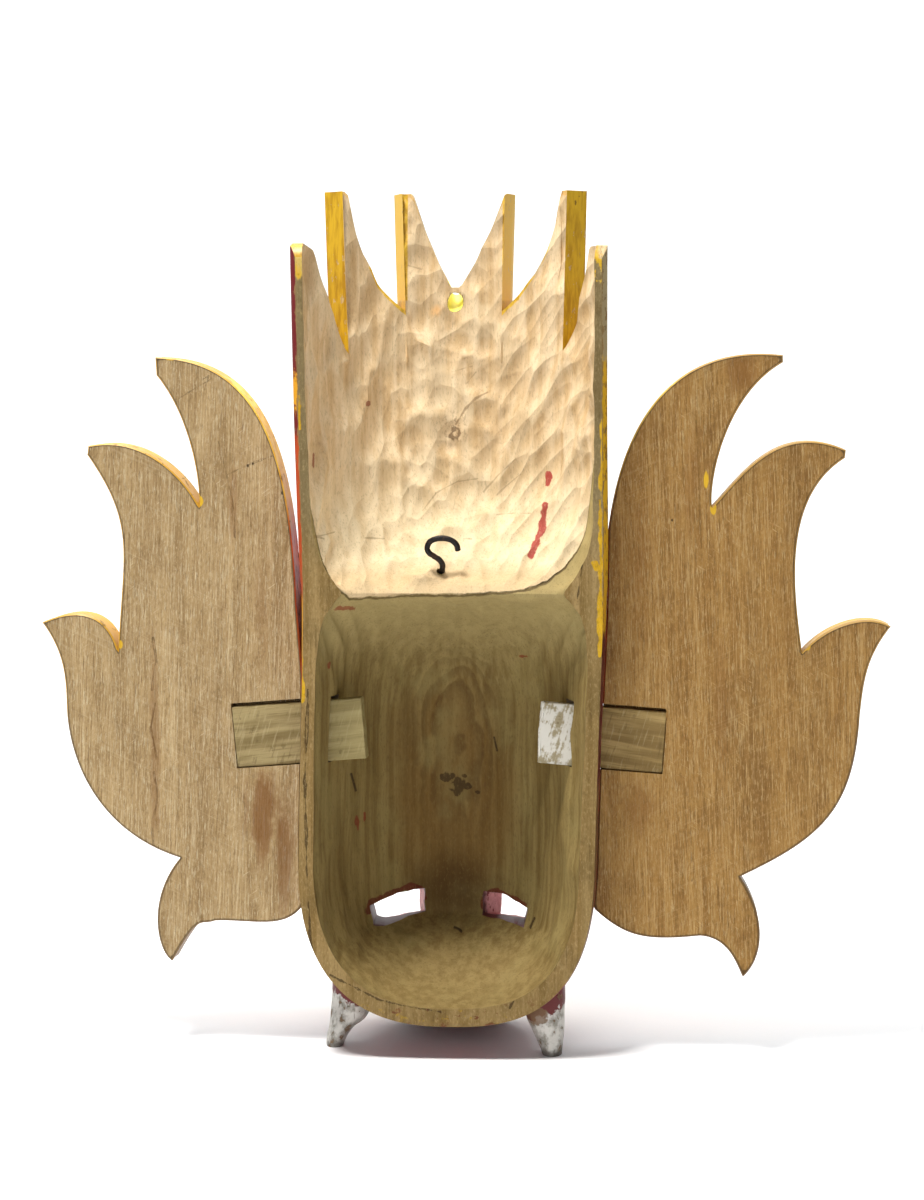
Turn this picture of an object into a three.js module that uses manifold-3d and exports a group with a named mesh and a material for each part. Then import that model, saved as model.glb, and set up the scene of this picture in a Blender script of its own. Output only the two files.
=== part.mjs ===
// A carved wooden demon mask with a flame crown and two flame-shaped side boards.
// The face and crown are one block, hollowed from behind. Each board is held by a flat wooden tenon that
// runs through the block's side wall, and a bent wire hook is screwed into the ledge between the hollows.
// The mask stands on its two tusks and its chin.
// Millimetres, +Z up. The face looks along -Y, and the wearer's side is +Y.

import * as THREE from "three";
import { mergeVertices } from "three/addons/utils/BufferGeometryUtils.js";
import Module from "manifold-3d";

const wasm = await Module();
wasm.setup();

// Driving dimensions. Depths are measured forward from the flat back rim.
const CROWN_TOP = 459;
const RIM_HALF_WIDTH = 78;
const RIM_BOTTOM = 18.5; // the back rim's lowest point, above the floor
const JAW_TOP = 110; // the jaw's curve starts here, going down
const JAW_POWER = 2.6;
const CAVITY_HALF_WIDTH = 70;
const CAVITY_BOTTOM = 28;
const CHIN_DROP = 19.5; // how far the underside comes down from the rim to the chin
const CHIN_DEPTH = 90;
const SIDE_SEAT = 16; // depth where the flared side becomes straight
const SECTION_POWER = 2.15;
const HOLLOW_POWER = 2.1;
const BACK_OVERCUT = 9; // the hollow's cutter reaches this far behind the rim

const BOARD_THICKNESS = 15;
const BOARD_DEPTH = 20; // the boards' back faces, forward of the rim
const BOARD_ROOT = 78; // the boards' outlines are measured outwards from here
const GAP = 0.4;

const TENON_HEIGHT = 33;
const TENON_THICKNESS = 8;
const TENON_ROOM = 0.45; // clearance round a tenon in its slot
const TENON_ROOM_ABOVE = 1.8;
const WIRE_RADIUS = 1.5;
const EYE_SPACING = 35;
const EYE_HEIGHT = 172;
const EYE_RADIUS = 20;

const WOOD = { color: 0xb49a72, roughness: 0.85, metalness: 0 };
const BOARD_WOOD = { color: 0xa5865a, roughness: 0.85, metalness: 0 };
const TENON_WOOD = { color: 0x9c9068, roughness: 0.85, metalness: 0 };
const IRON = { color: 0x25211d, roughness: 0.5, metalness: 0.8 };

// Profiles: a smooth line through a few [height, value] pairs.

function profile(pairs) {
  const n = pairs.length;
  const slope = pairs.map((p, i) => {
    const a = pairs[Math.max(i - 1, 0)];
    const b = pairs[Math.min(i + 1, n - 1)];
    return (b[1] - a[1]) / (b[0] - a[0]);
  });
  return (at) => {
    if (at <= pairs[0][0]) return pairs[0][1];
    if (at >= pairs[n - 1][0]) return pairs[n - 1][1];
    const i = pairs.findIndex((p) => p[0] > at) - 1;
    const [x0, y0] = pairs[i];
    const [x1, y1] = pairs[i + 1];
    const step = x1 - x0;
    const t = (at - x0) / step;
    const bend = step * t * (1 - t) * ((1 - t) * slope[i] - t * slope[i + 1]);
    return y0 + (y1 - y0) * t * t * (3 - 2 * t) + bend;
  };
}

// One coordinate of a rounded-square section
const power = (v, n) => Math.sign(v) * Math.abs(v) ** (2 / n);

const smooth = (t) => THREE.MathUtils.smoothstep(t, 0, 1);

function jawWidth(z, halfWidth, bottom) {
  if (z >= JAW_TOP) return halfWidth;
  const t = Math.min((JAW_TOP - z) / (JAW_TOP - bottom), 1);
  return halfWidth * (1 - t ** JAW_POWER) ** (1 / JAW_POWER);
}

// The block was roughed out by eye, so its middle wanders a little from side to side.
const sway = profile([[18, 0.5], [60, 2.3], [97, 2.8], [166, 1.2], [246, -0.8], [340, 0.6], [419, 1.5]]);
const rimGrowth = profile([[166, 0], [300, 0.3], [CROWN_TOP, 0.8]]);
const sideFlare = profile([[18, 1.5], [200, 2], [250, 2.5], [300, 2.8], [CROWN_TOP, 3.2]]);
const frontDepth = profile([
  [18, 84], [34, 92], [52, 92], [70, 92], [88, 94], [108, 98], [150, 96], [190, 97], [215, 98],
  [240, 93], [262, 80], [300, 73], [380, 76], [CROWN_TOP, 83],
]);
const sideDepth = profile([[18, 34], [235, 34], [262, 16], [300, 8], [CROWN_TOP, 8]]);
const hollowDepth = profile([
  [28, 0], [34, 24], [44, 45], [54, 64], [60, 74], [62.5, 77.5], [72, 78], [110, 79], [180, 78], [205, 72],
  [225, 56], [238, 32], [245, 13], [248, 6], [252, 9], [262, 24], [278, 41], [305, 53], [380, 61], [470, 69],
]);
const hollowWidth = profile([
  [JAW_TOP, CAVITY_HALF_WIDTH], [200, 71], [222, 70], [236, 67], [245, 61], [249, 58], [253, 60],
  [262, 66], [272, 70], [290, 73], [470, 75.5],
]);
const hollowLean = profile([[28, 0.02], [60, 0.08], [230, 0.09], [262, 0.03], [CROWN_TOP, 0.03]]);

const rimWidth = (z) => jawWidth(z, RIM_HALF_WIDTH + rimGrowth(z), RIM_BOTTOM);
const blockWidth = (z) => rimWidth(z) + sideFlare(z);
const cavityWidth = (z) =>
  z < JAW_TOP ? jawWidth(z, CAVITY_HALF_WIDTH, CAVITY_BOTTOM) : hollowWidth(z);

// Depth of the block's front surface at a place seen from the front.
function frontSurface(x, z) {
  const side = sideDepth(z);
  const share = Math.min(Math.abs(x) / blockWidth(z), 1);
  return side + (frontDepth(z) - side) * (1 - share ** SECTION_POWER) ** (1 / SECTION_POWER);
}

// Solids

// A solid from a closed geometry, turned the right way out if it was inside out.
function solidOf(geometry) {
  const bare = new THREE.BufferGeometry().setAttribute("position", geometry.getAttribute("position"));
  const merged = mergeVertices(bare.setIndex(geometry.index), 1e-3);
  const make = (triVerts) => {
    const vertProperties = merged.attributes.position.array;
    return new wasm.Manifold(new wasm.Mesh({ numProp: 3, vertProperties, triVerts }));
  };
  const solid = make(new Uint32Array(merged.index.array));
  return solid.volume() > 0 ? solid : make(new Uint32Array(merged.index.array).reverse());
}

function geometryOf(solid) {
  const mesh = solid.getMesh();
  const points = new Float32Array(mesh.numVert * 3);
  for (let i = 0; i < mesh.numVert; i++) {
    points.set(mesh.vertProperties.subarray(i * mesh.numProp, i * mesh.numProp + 3), i * 3);
  }
  const geometry = new THREE.BufferGeometry();
  geometry.setAttribute("position", new THREE.BufferAttribute(points, 3));
  geometry.setIndex(new THREE.BufferAttribute(mesh.triVerts, 1));
  const faceted = geometry.toNonIndexed();
  faceted.computeVertexNormals();
  return faceted;
}

// A closed solid through rings of points, each end closed by a fan.
function loft(rings) {
  const points = [];
  const faces = [];
  const sides = rings[0].length;
  rings.forEach((ring) => ring.forEach((p) => points.push(p.x, p.y, p.z)));
  for (let i = 0; i + 1 < rings.length; i++) {
    for (let j = 0; j < sides; j++) {
      const a = i * sides + j;
      const b = i * sides + ((j + 1) % sides);
      faces.push(a, b, b + sides, a, b + sides, a + sides);
    }
  }
  [0, rings.length - 1].forEach((i) => {
    const centre = rings[i].reduce((sum, p) => sum.add(p), new THREE.Vector3()).divideScalar(sides);
    const hub = points.length / 3;
    points.push(centre.x, centre.y, centre.z);
    for (let j = 0; j < sides; j++) {
      const a = i * sides + j;
      const b = i * sides + ((j + 1) % sides);
      faces.push(...(i === 0 ? [hub, b, a] : [hub, a, b]));
    }
  });
  const geometry = new THREE.BufferGeometry();
  geometry.setAttribute("position", new THREE.Float32BufferAttribute(points, 3));
  geometry.setIndex(faces);
  return solidOf(geometry);
}

// A tapered bar along a curve: size(t) gives its half width and half depth.
function sweep(curve, steps, sides, size, from = 0, to = 1) {
  const rings = [];
  for (let i = 0; i <= steps; i++) {
    const t = from + ((to - from) * i) / steps;
    const at = curve.getPoint(t);
    const along = curve.getTangent(t);
    const out = new THREE.Vector3(0, -1, 0).addScaledVector(along, along.y).normalize();
    const across = new THREE.Vector3().crossVectors(along, out);
    const [width, depth] = size(t);
    const ring = [];
    for (let j = 0; j < sides; j++) {
      const turn = (2 * Math.PI * j) / sides;
      const offset = across.clone().multiplyScalar(width * Math.cos(turn));
      ring.push(at.clone().add(offset).addScaledVector(out, depth * Math.sin(turn)));
    }
    rings.push(ring);
  }
  return loft(rings);
}

function ellipsoid(x, depth, z, radii, columns = 10, rows = 7) {
  const geometry = new THREE.SphereGeometry(1, columns, rows);
  geometry.rotateX(Math.PI / 2).scale(...radii).translate(x, -depth, z);
  return solidOf(geometry);
}

const curveThrough = (points) =>
  new THREE.CatmullRomCurve3(points.map(([x, depth, z]) => new THREE.Vector3(x, -depth, z)));

// A curve laid on the block's front, raised by lift.
const curveOnFront = (points, lift) =>
  curveThrough(points.map(([x, z]) => [x, frontSurface(x, z) + lift, z]));

const taper = (most, least, depth) => (t) => {
  const share = Math.sin(Math.PI * Math.min(Math.max(t, 0.04), 0.96));
  return [least + (most - least) * share, least + (depth - least) * share];
};

const both = (make) => [make(1), make(-1)];

// The block: a D-shaped section carried up from the jaw to the crown

function blockSection(z, room = 0) {
  const wide = blockWidth(z);
  const side = sideDepth(z);
  const front = frontDepth(z);
  const seat = Math.min(SIDE_SEAT, side * 0.6);
  const half = [[rimWidth(z), 0], [wide, seat]];
  for (let i = 0; i <= BLOCK_ARCS; i++) {
    const turn = (Math.PI * i) / BLOCK_ARCS / 2;
    const x = wide * power(Math.cos(turn), SECTION_POWER);
    half.push([Math.max(x, 0), side + (front - side) * power(Math.sin(turn), SECTION_POWER)]);
  }
  const mirrored = half.slice(0, -1).reverse().map(([x, depth]) => [-x, depth]);
  const drop = CHIN_DROP * (1 - smooth((z - RIM_BOTTOM) / (JAW_TOP - RIM_BOTTOM)));
  return [...half, ...mirrored].map(([x, depth]) => {
    const out = x + Math.sign(x) * room + sway(z);
    return new THREE.Vector3(out, -depth, z - (drop * depth) / CHIN_DEPTH);
  });
}

const BLOCK_ARCS = 8;
const BLOCK_ROWS = [
  18.8, 19.6, 21.5, 24.5, 29, 36, 45, 57, 72, 90, 110, 150, 200, 220, 238, 250, 262, 276, 300, 360, 419,
  CROWN_TOP,
];

const block = (room) => loft(BLOCK_ROWS.map((z) => blockSection(z, room)));

// The hollow behind: the face's deep cavity and the crown's shallower one, joined over the ledge

function hollowSection(z) {
  const wide = cavityWidth(z);
  const deep = hollowDepth(z);
  const half = [];
  for (let i = 0; i <= HOLLOW_ARCS; i++) {
    const turn = (Math.PI * i) / HOLLOW_ARCS / 2;
    const depth = deep * power(Math.sin(turn), HOLLOW_POWER);
    const lean = 1 - hollowLean(z) * smooth(depth / 30);
    half.push([Math.max(wide * lean * power(Math.cos(turn), HOLLOW_POWER), 0), depth]);
  }
  const mirrored = half.slice(0, -1).reverse().map(([x, depth]) => [-x, depth]);
  const behind = [[-wide, -BACK_OVERCUT], [wide, -BACK_OVERCUT]];
  return [...half, ...mirrored, ...behind].map(([x, depth]) => new THREE.Vector3(x + sway(z), -depth, z));
}

const HOLLOW_ARCS = 8;
const HOLLOW_ROWS = [
  28.25, 28.8, 30.5, 33.5, 38, 44, 52, 60, 62.5, 74, 90, 112, 180, 203, 217, 228, 236, 241, 245.5, 248.5,
  252, 258, 266, 278, 292, 330, 390, CROWN_TOP + 8,
];

const hollow = () => loft(HOLLOW_ROWS.map(hollowSection));

// The crown's gaps. Each is an outline of angle and height round an upright axis behind the crown, and is
// cut from that axis outwards. Its first edge is upright, and the rest is the hollow side of a flame.

function radialCut(outline, axisDepth) {
  const [near, far] = CUT_REACH;
  const shape = new THREE.Shape(outline.map(([angle, z]) => new THREE.Vector2(angle, z)));
  const cut = new THREE.ExtrudeGeometry(shape, { depth: far - near, steps: 3, bevelEnabled: false });
  const p = cut.getAttribute("position");
  for (let i = 0; i < p.count; i++) {
    const angle = THREE.MathUtils.degToRad(p.getX(i));
    const r = near + p.getZ(i);
    p.setXYZ(i, r * Math.sin(angle) + sway(CROWN_TOP), -(axisDepth + r * Math.cos(angle)), p.getY(i));
  }
  return solidOf(cut);
}

const CUT_REACH = [44, 116];
const ABOVE_CROWN = CROWN_TOP + 20;
const INNER_AXIS = -10;
const OUTER_AXIS = -15;

// Between a middle flame and the next one out
const INNER_GAPS = {
  1: [[20.6, 396], [25.4, 401], [32, 411], [38.5, 427], [42, 440], [45, CROWN_TOP + 1]],
  "-1": [[20.6, 396], [27.5, 405], [35, 416], [40.2, 428], [44.8, 442], [47.4, CROWN_TOP + 1]],
};

// Between that flame and the short one at the side, then over the short one's rounded top
const OUTER_GAPS = {
  1: [[45.2, 373], [51.6, 392], [55.5, 403], [60, 416], [64, 428], [70, 430.5], [77, 428.5], [80, 421]],
  "-1": [[48.4, 375], [56.5, 391], [61.5, 409], [65.5, 421], [68.5, 428.5], [76, 429], [80, 420]],
};

function innerGap(side) {
  const line = INNER_GAPS[side];
  const above = [[line.at(-1)[0], ABOVE_CROWN], [line[0][0], ABOVE_CROWN]];
  return radialCut([...line, ...above].map(([angle, z]) => [side * angle, z]), INNER_AXIS);
}

function outerGap(side) {
  const line = OUTER_GAPS[side];
  const around = [[125, 392], [125, ABOVE_CROWN], [line[0][0], ABOVE_CROWN]];
  return radialCut([...line, ...around].map(([angle, z]) => [side * angle, z]), OUTER_AXIS);
}

// The middle gap is sawn straight through, and its foot opens into a slanting round hole.
function middleGap() {
  const sawn = [
    [3, 409], [9.5, 421], [17, 439], [23.5, CROWN_TOP + 1], [23.5, ABOVE_CROWN],
    [-26, ABOVE_CROWN], [-26, CROWN_TOP + 1], [-19, 441], [-10.5, 423], [-2, 409],
  ];
  const shape = new THREE.Shape(sawn.map(([x, z]) => new THREE.Vector2(x, z)));
  const gap = new THREE.ExtrudeGeometry(shape, { depth: 120, bevelEnabled: false });
  gap.rotateX(Math.PI / 2);
  const hole = new THREE.CylinderGeometry(GAP_HOLE_RADIUS, GAP_HOLE_RADIUS, 60, 10);
  hole.rotateX(THREE.MathUtils.degToRad(-GAP_HOLE_SLANT)).translate(0.5, -76, 409);
  return solidOf(gap).add(solidOf(hole));
}

const GAP_HOLE_RADIUS = 4.2;
const GAP_HOLE_SLANT = 35;

// The face, carved on the front

function eyes() {
  return both((side) => {
    const ball = ellipsoid(side * EYE_SPACING, 87, EYE_HEIGHT, [EYE_RADIUS, 21, EYE_RADIUS], 14, 8);
    const lid = new THREE.TorusGeometry(EYE_RADIUS + 1.5, 4, 5, 14);
    lid.rotateX(Math.PI / 2 - 0.08).rotateZ(side * 0.25);
    lid.translate(side * (EYE_SPACING + 0.5), -90, EYE_HEIGHT);
    return ball.add(solidOf(lid));
  });
}

function brows() {
  return both((side) => {
    const line = [[8, 190], [24, 203], [44, 207], [62, 196], [71, 178]].map(([x, z]) => [side * x, z]);
    return sweep(curveOnFront(line, 3), 8, 6, taper(6.5, 2, 8));
  });
}

function nose() {
  const bridge = curveThrough([[0, 92, 190], [0, 98, 166], [0, 104, 142], [0, 106, 124], [0, 96, 106]]);
  const parts = [sweep(bridge, 7, 10, (t) => [8 + 9 * smooth(t), 10 + 9 * smooth(t)])];
  parts.push(ellipsoid(0, 110, 122, [15, 15, 13]));
  parts.push(...both((side) => ellipsoid(side * 19, 100, 117, [12, 12, 10.5], 10, 6)));
  return parts;
}

function cheeks() {
  return both((side) => ellipsoid(side * 53, 68, 113, [20, 19, 20]));
}

const UPPER_LIP = [[-64, 62], [-48, 84], [-24, 96], [0, 99], [24, 96], [48, 84], [64, 62]];
const LOWER_LIP = [[-57, 50], [-38, 43], [-18, 40], [0, 39], [18, 40], [38, 43], [57, 50]];

function lips() {
  return [
    sweep(curveOnFront(UPPER_LIP, 2), 12, 6, taper(6.5, 3.5, 9)),
    sweep(curveOnFront(LOWER_LIP, 3), 10, 6, taper(6.5, 3.5, 9)),
  ];
}

function tooth(x, z, width, height) {
  const box = new THREE.BoxGeometry(width, 14, height);
  const lean = Math.atan2(x, 120);
  box.rotateZ(lean).translate(x, -(frontSurface(x, z) + 1), z);
  return solidOf(box);
}

const UPPER_TEETH = { count: 8, spacing: 11.2, middle: 86.5, bow: -0.0068, width: 10.4, height: 13 };
const LOWER_TEETH = { count: 6, spacing: 12.4, middle: 50.5, bow: 0.001, width: 11.6, height: 11 };

function teeth({ count, spacing, middle, bow, width, height }) {
  const row = [];
  for (let i = 0; i < count; i++) {
    const x = (i - (count - 1) / 2) * spacing;
    row.push(tooth(x, middle + bow * x * x, width, height));
  }
  return row;
}

const tongue = () => ellipsoid(0, 90, 60, [12.5, 15, 13]);
const chin = () => ellipsoid(0, 74, 18, [33, 23, 24]);

// The tusks come down outside the jaw, at the corners of the mouth. The mask stands on them.
// Each station is [x, depth, height, half width, half depth].
const TUSKS = {
  1: [[52, 34, 58, 14, 13], [54.5, 32, 28, 12, 11], [57, 30, 16, 10.4, 9.5], [61, 29, 10, 7, 8],
    [64, 28, 3, 5.2, 6.5], [65, 28, -4, 4, 5.5]],
  "-1": [[-46, 25, 60, 14, 13], [-48, 20, 36, 12.5, 11.5], [-49.5, 18, 22, 11, 10],
    [-51.4, 17, 12, 8.6, 8.5], [-53, 16, 3, 6, 7], [-53.3, 16, -4, 5, 6]],
};

function tusk(side) {
  const rings = TUSKS[side].map(([x, depth, z, wide, deep]) => {
    const turns = Array.from({ length: 10 }, (_, i) => (2 * Math.PI * i) / 10);
    return turns.map((t) => new THREE.Vector3(x + wide * Math.cos(t), -depth + deep * Math.sin(t), z));
  });
  return loft(rings);
}

// The headband and the crown's flame ribs

const BOSS_SPACING = 26;
const bandHeight = (x) => 228 + 0.0012 * x * x;

function headband() {
  const line = [-76, -58, -38, -19, 0, 19, 38, 58, 76].map((x) => [x, bandHeight(x)]);
  const band = sweep(curveOnFront(line, 0), 10, 6, () => [9, 5]);
  const bosses = [-2, -1, 0, 1, 2].map((i) => {
    const x = BOSS_SPACING * i;
    const z = bandHeight(x);
    return ellipsoid(x, frontSurface(x, z) + 3, z, [7.5, 6, 7.5], 8, 5);
  });
  return [band, ...bosses];
}

const RIBS = [
  [[12, 262], [20, 320], [24, 380], [27, 440]],
  [[32, 262], [44, 310], [53, 365], [60, 440]],
  [[56, 260], [68, 300], [76, 350], [79, 405]],
];

function crownRelief() {
  const ribs = RIBS.flatMap((line) =>
    both((side) => {
      const curve = curveOnFront(line.map(([x, z]) => [side * x, z]), -1);
      return sweep(curve, 6, 5, (t) => [6.5 - 4 * t, 5.5 - 2 * t]);
    }),
  );
  const jewel = ellipsoid(0, frontSurface(0, 300), 300, [11, 9, 26], 10, 7);
  return [...ribs, jewel];
}

// The two slots that the wearer looks through. Their outlines are those on the hollow's far wall, and from
// there they run outwards and down as they go forward.
const SLOT_BACK = 44;
const SLOT_WALL = 78;
const SLOT_SPLAY = { 1: 0.3, "-1": 0.9 };
const SLOT_FALL = 0.24;
const SLOTS = {
  1: [[18, 63], [18.5, 76], [33, 74.5], [47.5, 70.5], [45.5, 60], [40, 58.5]],
  "-1": [[-14, 61.5], [-14.5, 75], [-27, 74], [-39.5, 69], [-37.5, 59], [-27, 60.5]],
};

function mouthSlot(side) {
  const shape = new THREE.Shape(SLOTS[side].map(([x, z]) => new THREE.Vector2(x, z)));
  const depth = 2 * (SLOT_WALL - SLOT_BACK);
  const cut = new THREE.ExtrudeGeometry(shape, { depth, steps: 2, bevelEnabled: false });
  const p = cut.rotateX(Math.PI / 2).translate(0, -SLOT_BACK, 0).getAttribute("position");
  for (let i = 0; i < p.count; i++) {
    const beyond = Math.max(-p.getY(i) - SLOT_WALL, 0);
    p.setX(i, p.getX(i) + side * SLOT_SPLAY[side] * beyond);
    p.setZ(i, p.getZ(i) - SLOT_FALL * beyond);
  }
  return solidOf(cut);
}

// The flame boards. Each has its own frame: x outwards from its root, y backwards from its back face, z up.
// An outline goes from the root's top over three flames to the toe. Its rows are straight or curved edges:
// [x, z], or two handles and an end as [x, z, x, z, x, z].
const BOARDS = {
  1: {
    name: "left_flame_board",
    sweep: THREE.MathUtils.degToRad(6),
    outline: [
      [-10, 78], [-10, 195], [2, 200], [5.3, 243.5], [8, 322, 24, 371, 80.5, 371.6], [80, 362],
      [64, 343, 57, 312, 57.5, 292.4], [67, 311, 90, 331, 118, 324.4], [118.6, 319.6],
      [92, 282, 100, 268, 103.2, 214], [108, 234, 124, 239, 145.2, 229.2],
      [131, 210, 133, 195, 132.2, 179], [130, 148, 112, 114, 70.3, 102.4],
      [90, 79, 84, 50, 75.5, 45.3], [60, 73, 60, 65, 51.3, 68.4], [30, 70, 13, 64, 2.6, 78.8],
    ],
  },
  "-1": {
    name: "right_flame_board",
    sweep: THREE.MathUtils.degToRad(-2),
    outline: [
      [-10, 79], [-10, 240], [1.8, 244.3], [1, 312, 21, 381, 93.6, 372.8], [93.7, 369],
      [64, 352, 56, 307, 57.9, 293.7], [73, 310, 91, 339, 126.8, 323.7], [126.4, 319.5],
      [91, 297, 103, 240, 105.7, 217.2], [118, 232, 139, 239, 151.6, 231.5],
      [139, 215, 138, 202, 136.4, 184.6], [134, 135, 119, 119, 74.8, 97],
      [90, 75, 88, 53, 77, 42.7], [74, 48, 70, 64, 54, 64.6], [24, 61, 14, 63, -3.6, 79.3],
    ],
  },
};

function boardFrame(side) {
  const { sweep: swept } = BOARDS[side];
  const along = new THREE.Vector3(side * Math.cos(swept), -Math.sin(swept), 0);
  const back = new THREE.Vector3(side * Math.sin(swept), Math.cos(swept), 0);
  const frame = new THREE.Matrix4().makeBasis(along, back, new THREE.Vector3(0, 0, 1));
  return frame.setPosition(side * BOARD_ROOT, -BOARD_DEPTH, 0);
}

function boardShape(outline) {
  const shape = new THREE.Shape();
  shape.moveTo(...outline[0]);
  outline.slice(1).forEach((edge) => {
    if (edge.length === 2) shape.lineTo(...edge);
    else shape.bezierCurveTo(...edge);
  });
  return shape;
}

// A raised rib down the middle of each flame, from the board's lower middle to near the tip
const BOARD_RIBS = [
  [[28, 215], [29, 268], [41, 322], [66, 353]],
  [[60, 200], [74, 248], [82, 285], [102, 314]],
  [[90, 140], [108, 168], [119, 196], [133, 219]],
  [[46, 132], [58, 110], [66, 90], [74, 68]],
];

// Each tenon's inner and outer end, from the board's root, and the height of its middle at each
const TENONS = {
  1: { inner: -31, outer: 39.5, innerHeight: 175.5, outerHeight: 169 },
  "-1": { inner: -33, outer: 34, innerHeight: 173, outerHeight: 168.5 },
};

function tenonBox(side, room, roomAbove) {
  const { inner, outer, innerHeight, outerHeight } = TENONS[side];
  const long = outer - inner + 2 * room;
  const box = new THREE.BoxGeometry(long, TENON_THICKNESS + 2 * room, TENON_HEIGHT + room + roomAbove);
  const tilt = Math.atan2(innerHeight - outerHeight, outer - inner);
  box.translate(0, -TENON_THICKNESS / 2 - GAP, (roomAbove - room) / 2);
  box.rotateY(tilt).translate((inner + outer) / 2, 0, (innerHeight + outerHeight) / 2);
  return solidOf(box.applyMatrix4(boardFrame(side)));
}

function boardSolid(side) {
  const flat = new THREE.ExtrudeGeometry(boardShape(BOARDS[side].outline), {
    depth: BOARD_THICKNESS, bevelEnabled: false, curveSegments: 7,
  });
  let solid = solidOf(flat.rotateX(Math.PI / 2).applyMatrix4(boardFrame(side)));
  BOARD_RIBS.forEach((line) => {
    const at = line.map(([x, z]) => new THREE.Vector3(x, 1 - BOARD_THICKNESS, z));
    at.forEach((p) => p.applyMatrix4(boardFrame(side)));
    solid = solid.add(sweep(new THREE.CatmullRomCurve3(at), 5, 5, (t) => [7 - 4.5 * t, 5 - 2 * t]));
  });
  return solid.subtract(block(GAP)).subtract(tenonBox(side, TENON_ROOM, TENON_ROOM_ABOVE));
}

// The hook: a shank screwed into the ledge, and a bent loop

const HOOK_LINE = [
  [6.8, 30, 245.5], [6.8, 24, 253], [6.9, 20, 258.5], [9.1, 18, 263.2], [12.2, 17, 267],
  [14.9, 16, 270.9], [14.2, 15.5, 274], [11, 15, 276.3], [6.6, 15, 277.1], [1.8, 15, 275.7],
  [-1, 15, 271.8], [-0.5, 15.5, 267.8],
];

// The wire is a little shorter than the curve, so that its bore is deeper than its end.
function hookWire(radius, steps, from, to) {
  return sweep(curveThrough(HOOK_LINE), steps, 8, () => [radius, radius], from, to);
}

const hookSolid = () => hookWire(WIRE_RADIUS, 26, 0.01, 1);
const hookBore = () => hookWire(WIRE_RADIUS + GAP, 6, 0, 0.22);

function maskSolid() {
  let solid = block(0);
  const carved = [
    ...eyes(), ...brows(), ...nose(), ...cheeks(), ...lips(), ...teeth(UPPER_TEETH), ...teeth(LOWER_TEETH),
    tongue(), chin(), ...both(tusk), ...headband(), ...crownRelief(),
  ];
  carved.forEach((piece) => (solid = solid.add(piece)));
  const tenonSlot = (side) => tenonBox(side, TENON_ROOM, TENON_ROOM_ABOVE);
  const belowFloor = new THREE.BoxGeometry(400, 400, 60).translate(0, 0, -30);
  const cuts = [
    hollow(), middleGap(), ...both(innerGap), ...both(outerGap), ...both(mouthSlot),
    ...both(tenonSlot), hookBore(), solidOf(belowFloor),
  ];
  cuts.forEach((piece) => (solid = solid.subtract(piece)));
  return solid;
}

function piece(name, solid, material) {
  const mesh = new THREE.Mesh(geometryOf(solid), new THREE.MeshStandardMaterial(material));
  mesh.name = name;
  return mesh;
}

const mask = new THREE.Group();
mask.add(piece("carved_mask", maskSolid(), WOOD));
both((side) => mask.add(piece(BOARDS[side].name, boardSolid(side), BOARD_WOOD)));
both((side) => mask.add(piece(side > 0 ? "left_tenon" : "right_tenon", tenonBox(side, 0, 0), TENON_WOOD)));
mask.add(piece("hanging_hook", hookSolid(), IRON));

// The origin is under the middle of the whole mask, on the floor.
const bounds = new THREE.Box3().setFromObject(mask);
const middle = bounds.getCenter(new THREE.Vector3());
mask.position.set(-middle.x, -middle.y, -bounds.min.z);

export default mask;
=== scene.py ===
"""A carved wooden demon mask with a flame crown and two flame-shaped side boards, seen from behind.

The block is one closed surface: rays from an upright axis behind the rim meet its outside and its hollow, and
the rim and the crown's cut faces join the two. Boards, tenons, hook, tusks and teeth are surfaces of their own.
Functions work in millimetres, with x to the mask's left, depth forward from the flat back rim and z up from the
floor. place() turns that into metres in the frame.
"""

import functools
import math

import bmesh
import bpy
import numpy as np
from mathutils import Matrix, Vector
from mathutils.geometry import delaunay_2d_cdt
from mathutils.kdtree import KDTree


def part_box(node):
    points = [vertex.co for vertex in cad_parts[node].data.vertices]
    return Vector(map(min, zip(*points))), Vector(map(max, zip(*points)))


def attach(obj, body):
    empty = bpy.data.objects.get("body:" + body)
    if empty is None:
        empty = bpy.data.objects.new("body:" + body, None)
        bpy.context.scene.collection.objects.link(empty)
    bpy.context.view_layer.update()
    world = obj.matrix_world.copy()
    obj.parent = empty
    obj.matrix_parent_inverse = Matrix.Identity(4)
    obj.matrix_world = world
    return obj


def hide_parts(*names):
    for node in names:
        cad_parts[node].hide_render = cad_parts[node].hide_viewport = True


bl_info = {
    "name": "Carved Demon Mask",
    "version": (1, 0, 0),
    "blender": (4, 5, 0),
    "location": "3D View > Sidebar > Mask",
    "description": "Builds the looks of a carved and painted wooden mask on its measured frame",
    "category": "Object",
}

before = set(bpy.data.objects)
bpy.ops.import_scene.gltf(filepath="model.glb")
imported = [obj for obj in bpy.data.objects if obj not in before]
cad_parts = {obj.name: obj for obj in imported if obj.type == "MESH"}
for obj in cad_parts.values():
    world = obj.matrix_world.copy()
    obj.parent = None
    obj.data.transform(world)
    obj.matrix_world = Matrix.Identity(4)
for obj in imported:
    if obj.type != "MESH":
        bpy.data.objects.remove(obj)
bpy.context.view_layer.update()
MM = 0.001

# Sizes of the block, as the solids have them
CROWN_TOP = 459
RIM_HALF_WIDTH = 78
RIM_BOTTOM = 18.5
JAW_TOP = 110
JAW_POWER = 2.6
CAVITY_HALF_WIDTH = 70
CAVITY_BOTTOM = 28
CHIN_DROP = 19.5
CHIN_DEPTH = 90
SIDE_SEAT = 16
SECTION_POWER = 2.15
HOLLOW_POWER = 2.1
LEDGE_HEIGHT = 248
FRONT_LIMIT = 123.7

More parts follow.
